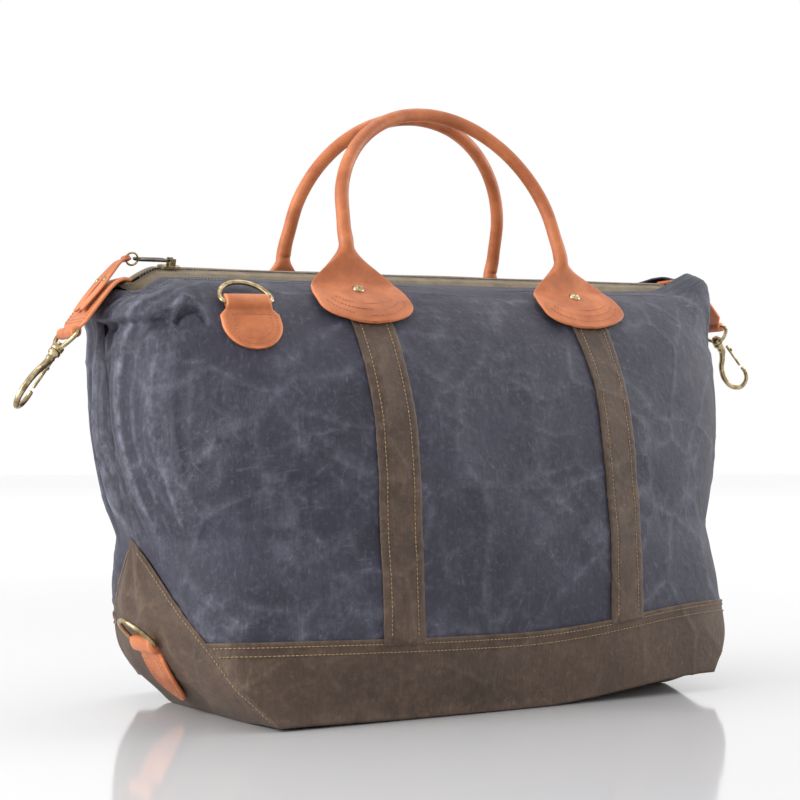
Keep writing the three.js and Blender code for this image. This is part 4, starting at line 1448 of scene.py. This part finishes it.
def about_y(degrees):
    cos, sin = math.cos(math.radians(degrees)), math.sin(math.radians(degrees))
    return np.array([(cos, 0, sin), (0, 1, 0), (-sin, 0, cos)])


def about_z(degrees):
    cos, sin = math.cos(math.radians(degrees)), math.sin(math.radians(degrees))
    return np.array([(cos, -sin, 0), (sin, cos, 0), (0, 0, 1)])


def end_tab_path(bar, count):
    shares = ((0, 0), (0.2, 0.045), (0.4, 0.21), (0.7, 0.59))
    points = [(across * bar[0], 0, down * bar[1]) for across, down in shares]
    points.append((bar[0] + 3, 0, bar[1] - 4.2))
    return even_path(catmull(points, np.linspace(0, 1, 400)), count)


class EndTab:
    """The leather at one end of the zip, in rows from the zip to its fold round the loop."""

    def __init__(self, end, origin, turn, bar):
        rows = END_TAB["rows"]
        v = np.linspace(0, 1, rows)
        self.mirror = (end, 1, 1)
        self.origin = origin
        self.turn = turn
        self.path = end_tab_path(bar, rows)
        self.path[:, 2] -= TAB_TUCK * (1 - smooth(v / 0.3))
        tangent = unit(np.gradient(self.path, axis=0))
        self.out = np.stack([-tangent[:, 2], np.zeros(rows), tangent[:, 0]], 1)
        length = path_length(self.path)
        self.past_bar = v * length - (length - 5.2)
        half = mix(END_TAB["half_width"], RING_INNER / 2 - 3, smooth((v - 0.78) / 0.12))
        self.half = half * np.sqrt(mix(0.35, 1, smooth(v / 0.2)))
        self.seam_row = int(np.argmin(np.abs(self.past_bar + 9)))

    def placed(self, along, across, lift):
        points = self.path[along] * self.mirror + self.out[along] * self.mirror * lift
        points = points + np.stack([np.zeros_like(across), across, np.zeros_like(across)], -1)
        return points @ self.turn.T + self.origin

    def line(self, along, across):
        """Places just above the leather's face, with their normals."""
        path = self.placed(along, across, np.full((len(along), 1), 1.65))
        return path, self.out[along] * self.mirror @ self.turn.T


def add_end_leather(name, tab):
    rows, columns = END_TAB["rows"], END_TAB["columns"]
    bend = np.sqrt(np.clip(END_TAB["fold_radius"] ** 2 - tab.past_bar**2, 0.1, None))
    thick = np.where(tab.past_bar < 0, np.maximum(END_TAB["thickness"] / 2, bend), bend)
    u = np.linspace(-1, 1, columns)
    rounding = 1 - 0.45 * smooth((np.abs(u) - 0.93) / 0.07)
    along = np.repeat(np.arange(rows)[:, None], columns, 1)
    across = tab.half[:, None] * u[None]
    groove = 0.5 * np.exp(-(((tab.past_bar + 6) / 1.1) ** 2))
    sheet = (thick[:, None] * rounding[None])[..., None]
    top = tab.placed(along, across, sheet - groove[:, None, None])
    under = tab.placed(along, across, -sheet)
    piece = mesh_piece(f"{name}_end_leather", *sheet_shell(top, under), MATERIALS["leather"])
    face_outwards(piece)
    on_edge = np.repeat(smooth((np.abs(u) - 0.9) / 0.1)[None], rows, 0).ravel()
    set_values(piece, "edge", np.concatenate([on_edge, on_edge]))
    settle_piece(piece, f"{name}_tab", "tan_leather", f"{name}_end_tab")


def add_end_tab_stitching(name, tab):
    """Two rows across, above the fold, and one down each side."""
    width = tab.half[tab.seam_row] - 3
    lines = [
        tab.line(np.full(60, tab.seam_row + shift), np.linspace(-width, width, 60))
        for shift in (0, -5)
    ]
    beside = np.arange(22, tab.seam_row)
    lines += [tab.line(beside, hand * (tab.half[beside] - 3)) for hand in (-1, 1)]
    sew(
        f"{name}_end_tab_stitching", lines, "leather_thread", "tan_leather",
        body=f"{name}_tab", stitch=LEATHER_STITCH,
    )


def loop_path():
    """A bar through the tab, its sides closing in to the swivel."""
    half, low = RING_INNER / 2 + LOOP_WIRE, -HOOK["loop"]
    right = [
        (0, 0.5 * half, 0), (0, 0.93 * half, 0), (0, half, -2.5), (0, 0.75 * half, 0.6 * low),
        (0, 5, low),
    ]
    left = [(x, -y, z) for x, y, z in reversed(right)]
    return catmull([(0, 0, 0), *right, *left], np.linspace(0, 1, 150, endpoint=False), closed=True)


def add_swivel_loop(name, origin, turn):
    loop = Shells()
    loop.tube(loop_path() @ turn.T + origin, LOOP_WIRE, 20, closed=True)
    loop.lathe(COLLAR, origin + turn @ (0, 0, -HOOK["loop"]), turn[:, 2], closed=True)
    loop.settled(
        f"{name}_swivel_loop", "brass", f"{name}_loop", "antique_brass", f"{name}_hook_loop",
    )


def add_swivel_hook(name, origin, turn):
    body = Shells()
    body.lathe(SHANK, origin + turn @ (0, 0, BODY_TOP), turn[:, 2])
    share = np.linspace(0, 1, 110)
    crook = catmull([(x, 0, BODY_TOP + z) for x, z in CROOK], share)
    radius = mix(3.0, 1.9, share) * np.sqrt(np.clip((1 - share) / 0.02, 0.02, 1))
    body.tube(crook @ turn.T + origin, radius, 24)
    body.settled(
        f"{name}_swivel_hook", "brass", f"{name}_hook", "antique_brass", f"{name}_hook_body",
    )


def add_swivel_gate(name, origin, turn):
    """The sprung bar across the hook's mouth, with its thumb knob."""
    gate = Shells()
    ends = np.array([(6.6, 0, BODY_TOP - 7), (9.2, 0, BODY_TOP - 32.4)])
    line = mix(ends[0], ends[1], np.linspace(0, 1, 30)[:, None])
    gate.tube(line @ turn.T + origin, np.linspace(1.5, 1.2, 30), 20)
    thumb = np.array([(7.2 + reach, 0, BODY_TOP - 13) for reach in np.linspace(0, 2.8, 10)])
    knob = np.array([1.0, 1.0, 1.0, 1.0, 1.1, 1.6, 1.8, 1.8, 1.5, 0.6])
    gate.tube(thumb @ turn.T + origin, knob, 18)
    gate.settled(
        f"{name}_swivel_gate", "brass", f"{name}_gate", "antique_brass", f"{name}_hook_gate",
    )


def build_ends():
    for name, end in ENDS.items():
        at = END_PLACES[name]
        slope = end * END_TAB["start"] * ZIP_SLOPE
        origin = np.array([end * END_TAB["start"], TOP_LEAN, ZIP_HEIGHT + slope + at["rise"]])
        turn = about_y(-end * at["lift"])
        tab = EndTab(end, origin, turn, at["bar"])
        add_end_leather(name, tab)
        add_end_tab_stitching(name, tab)
        bar_place = origin + turn @ (end * at["bar"][0], 0, at["bar"][1])
        loop_turn = turn @ about_y(-end * (HOOK["tilt"] - at["lift"]))
        hook_turn = loop_turn @ about_z(at["spin"])
        add_swivel_loop(name, bar_place, loop_turn)
        add_swivel_hook(name, bar_place, hook_turn)
        add_swivel_gate(name, bar_place, hook_turn)


build_ends()


# ---------------------------------------------------------------- stage
def add_floor():
    mesh = bpy.data.meshes.new("floor")
    mesh.from_pydata([(-60, -60, 0), (60, -60, 0), (60, 60, 0), (-60, 60, 0)], [], [(0, 1, 2, 3)])
    nodes = Nodes("studio_floor")
    # Painted shade: the floor's colour is grey near the bag and pales to white from 0.7 to 3.2 m
    # away, standing in for falling light.
    distance = nodes.add("ShaderNodeVectorMath", operation="LENGTH")
    nodes.feed(distance, 0, nodes.places)
    away = nodes.ramp(distance.outputs["Value"], 0.7, 3.2)
    floor_painted_shade = nodes.blend(away, (0.6, 0.597, 0.607), (1.0, 1.0, 1.0))
    nodes.feed(nodes.shader, "Base Color", floor_painted_shade)
    nodes.shader.inputs["Roughness"].default_value = 0.09
    floor = link("floor", mesh, nodes.material)
    floor.location.z = -0.0005


def add_light(name, place, target, size, power):
    data = bpy.data.lights.new(name, "AREA")
    data.shape = "RECTANGLE"
    data.size, data.size_y = size
    data.energy = power
    light = bpy.data.objects.new(name, data)
    light.location = place
    light.rotation_mode = "QUATERNION"
    light.rotation_quaternion = (Vector(target) - Vector(place)).to_track_quat("-Z", "Y")
    bpy.context.scene.collection.objects.link(light)


def add_stage():
    add_floor()
    world = bpy.data.worlds.new("studio")
    world.use_nodes = True
    background = world.node_tree.nodes["Background"]
    background.inputs["Color"].default_value = (1, 1, 1, 1)
    background.inputs["Strength"].default_value = 1.0
    bpy.context.scene.world = world
    bpy.context.scene.view_settings.view_transform = "Standard"
    add_light("key", (-2.1, 0.15, 0.9), (-0.1, 0, 0.2), (1.2, 1.2), 42)
    add_light("fill", (1.9, -0.5, 0.9), (0.1, 0, 0.2), (1.0, 1.2), 17)
    add_light("top", (0.1, 0.3, 2.0), (0, 0, 0.2), (1.6, 1.2), 9)


add_stage()
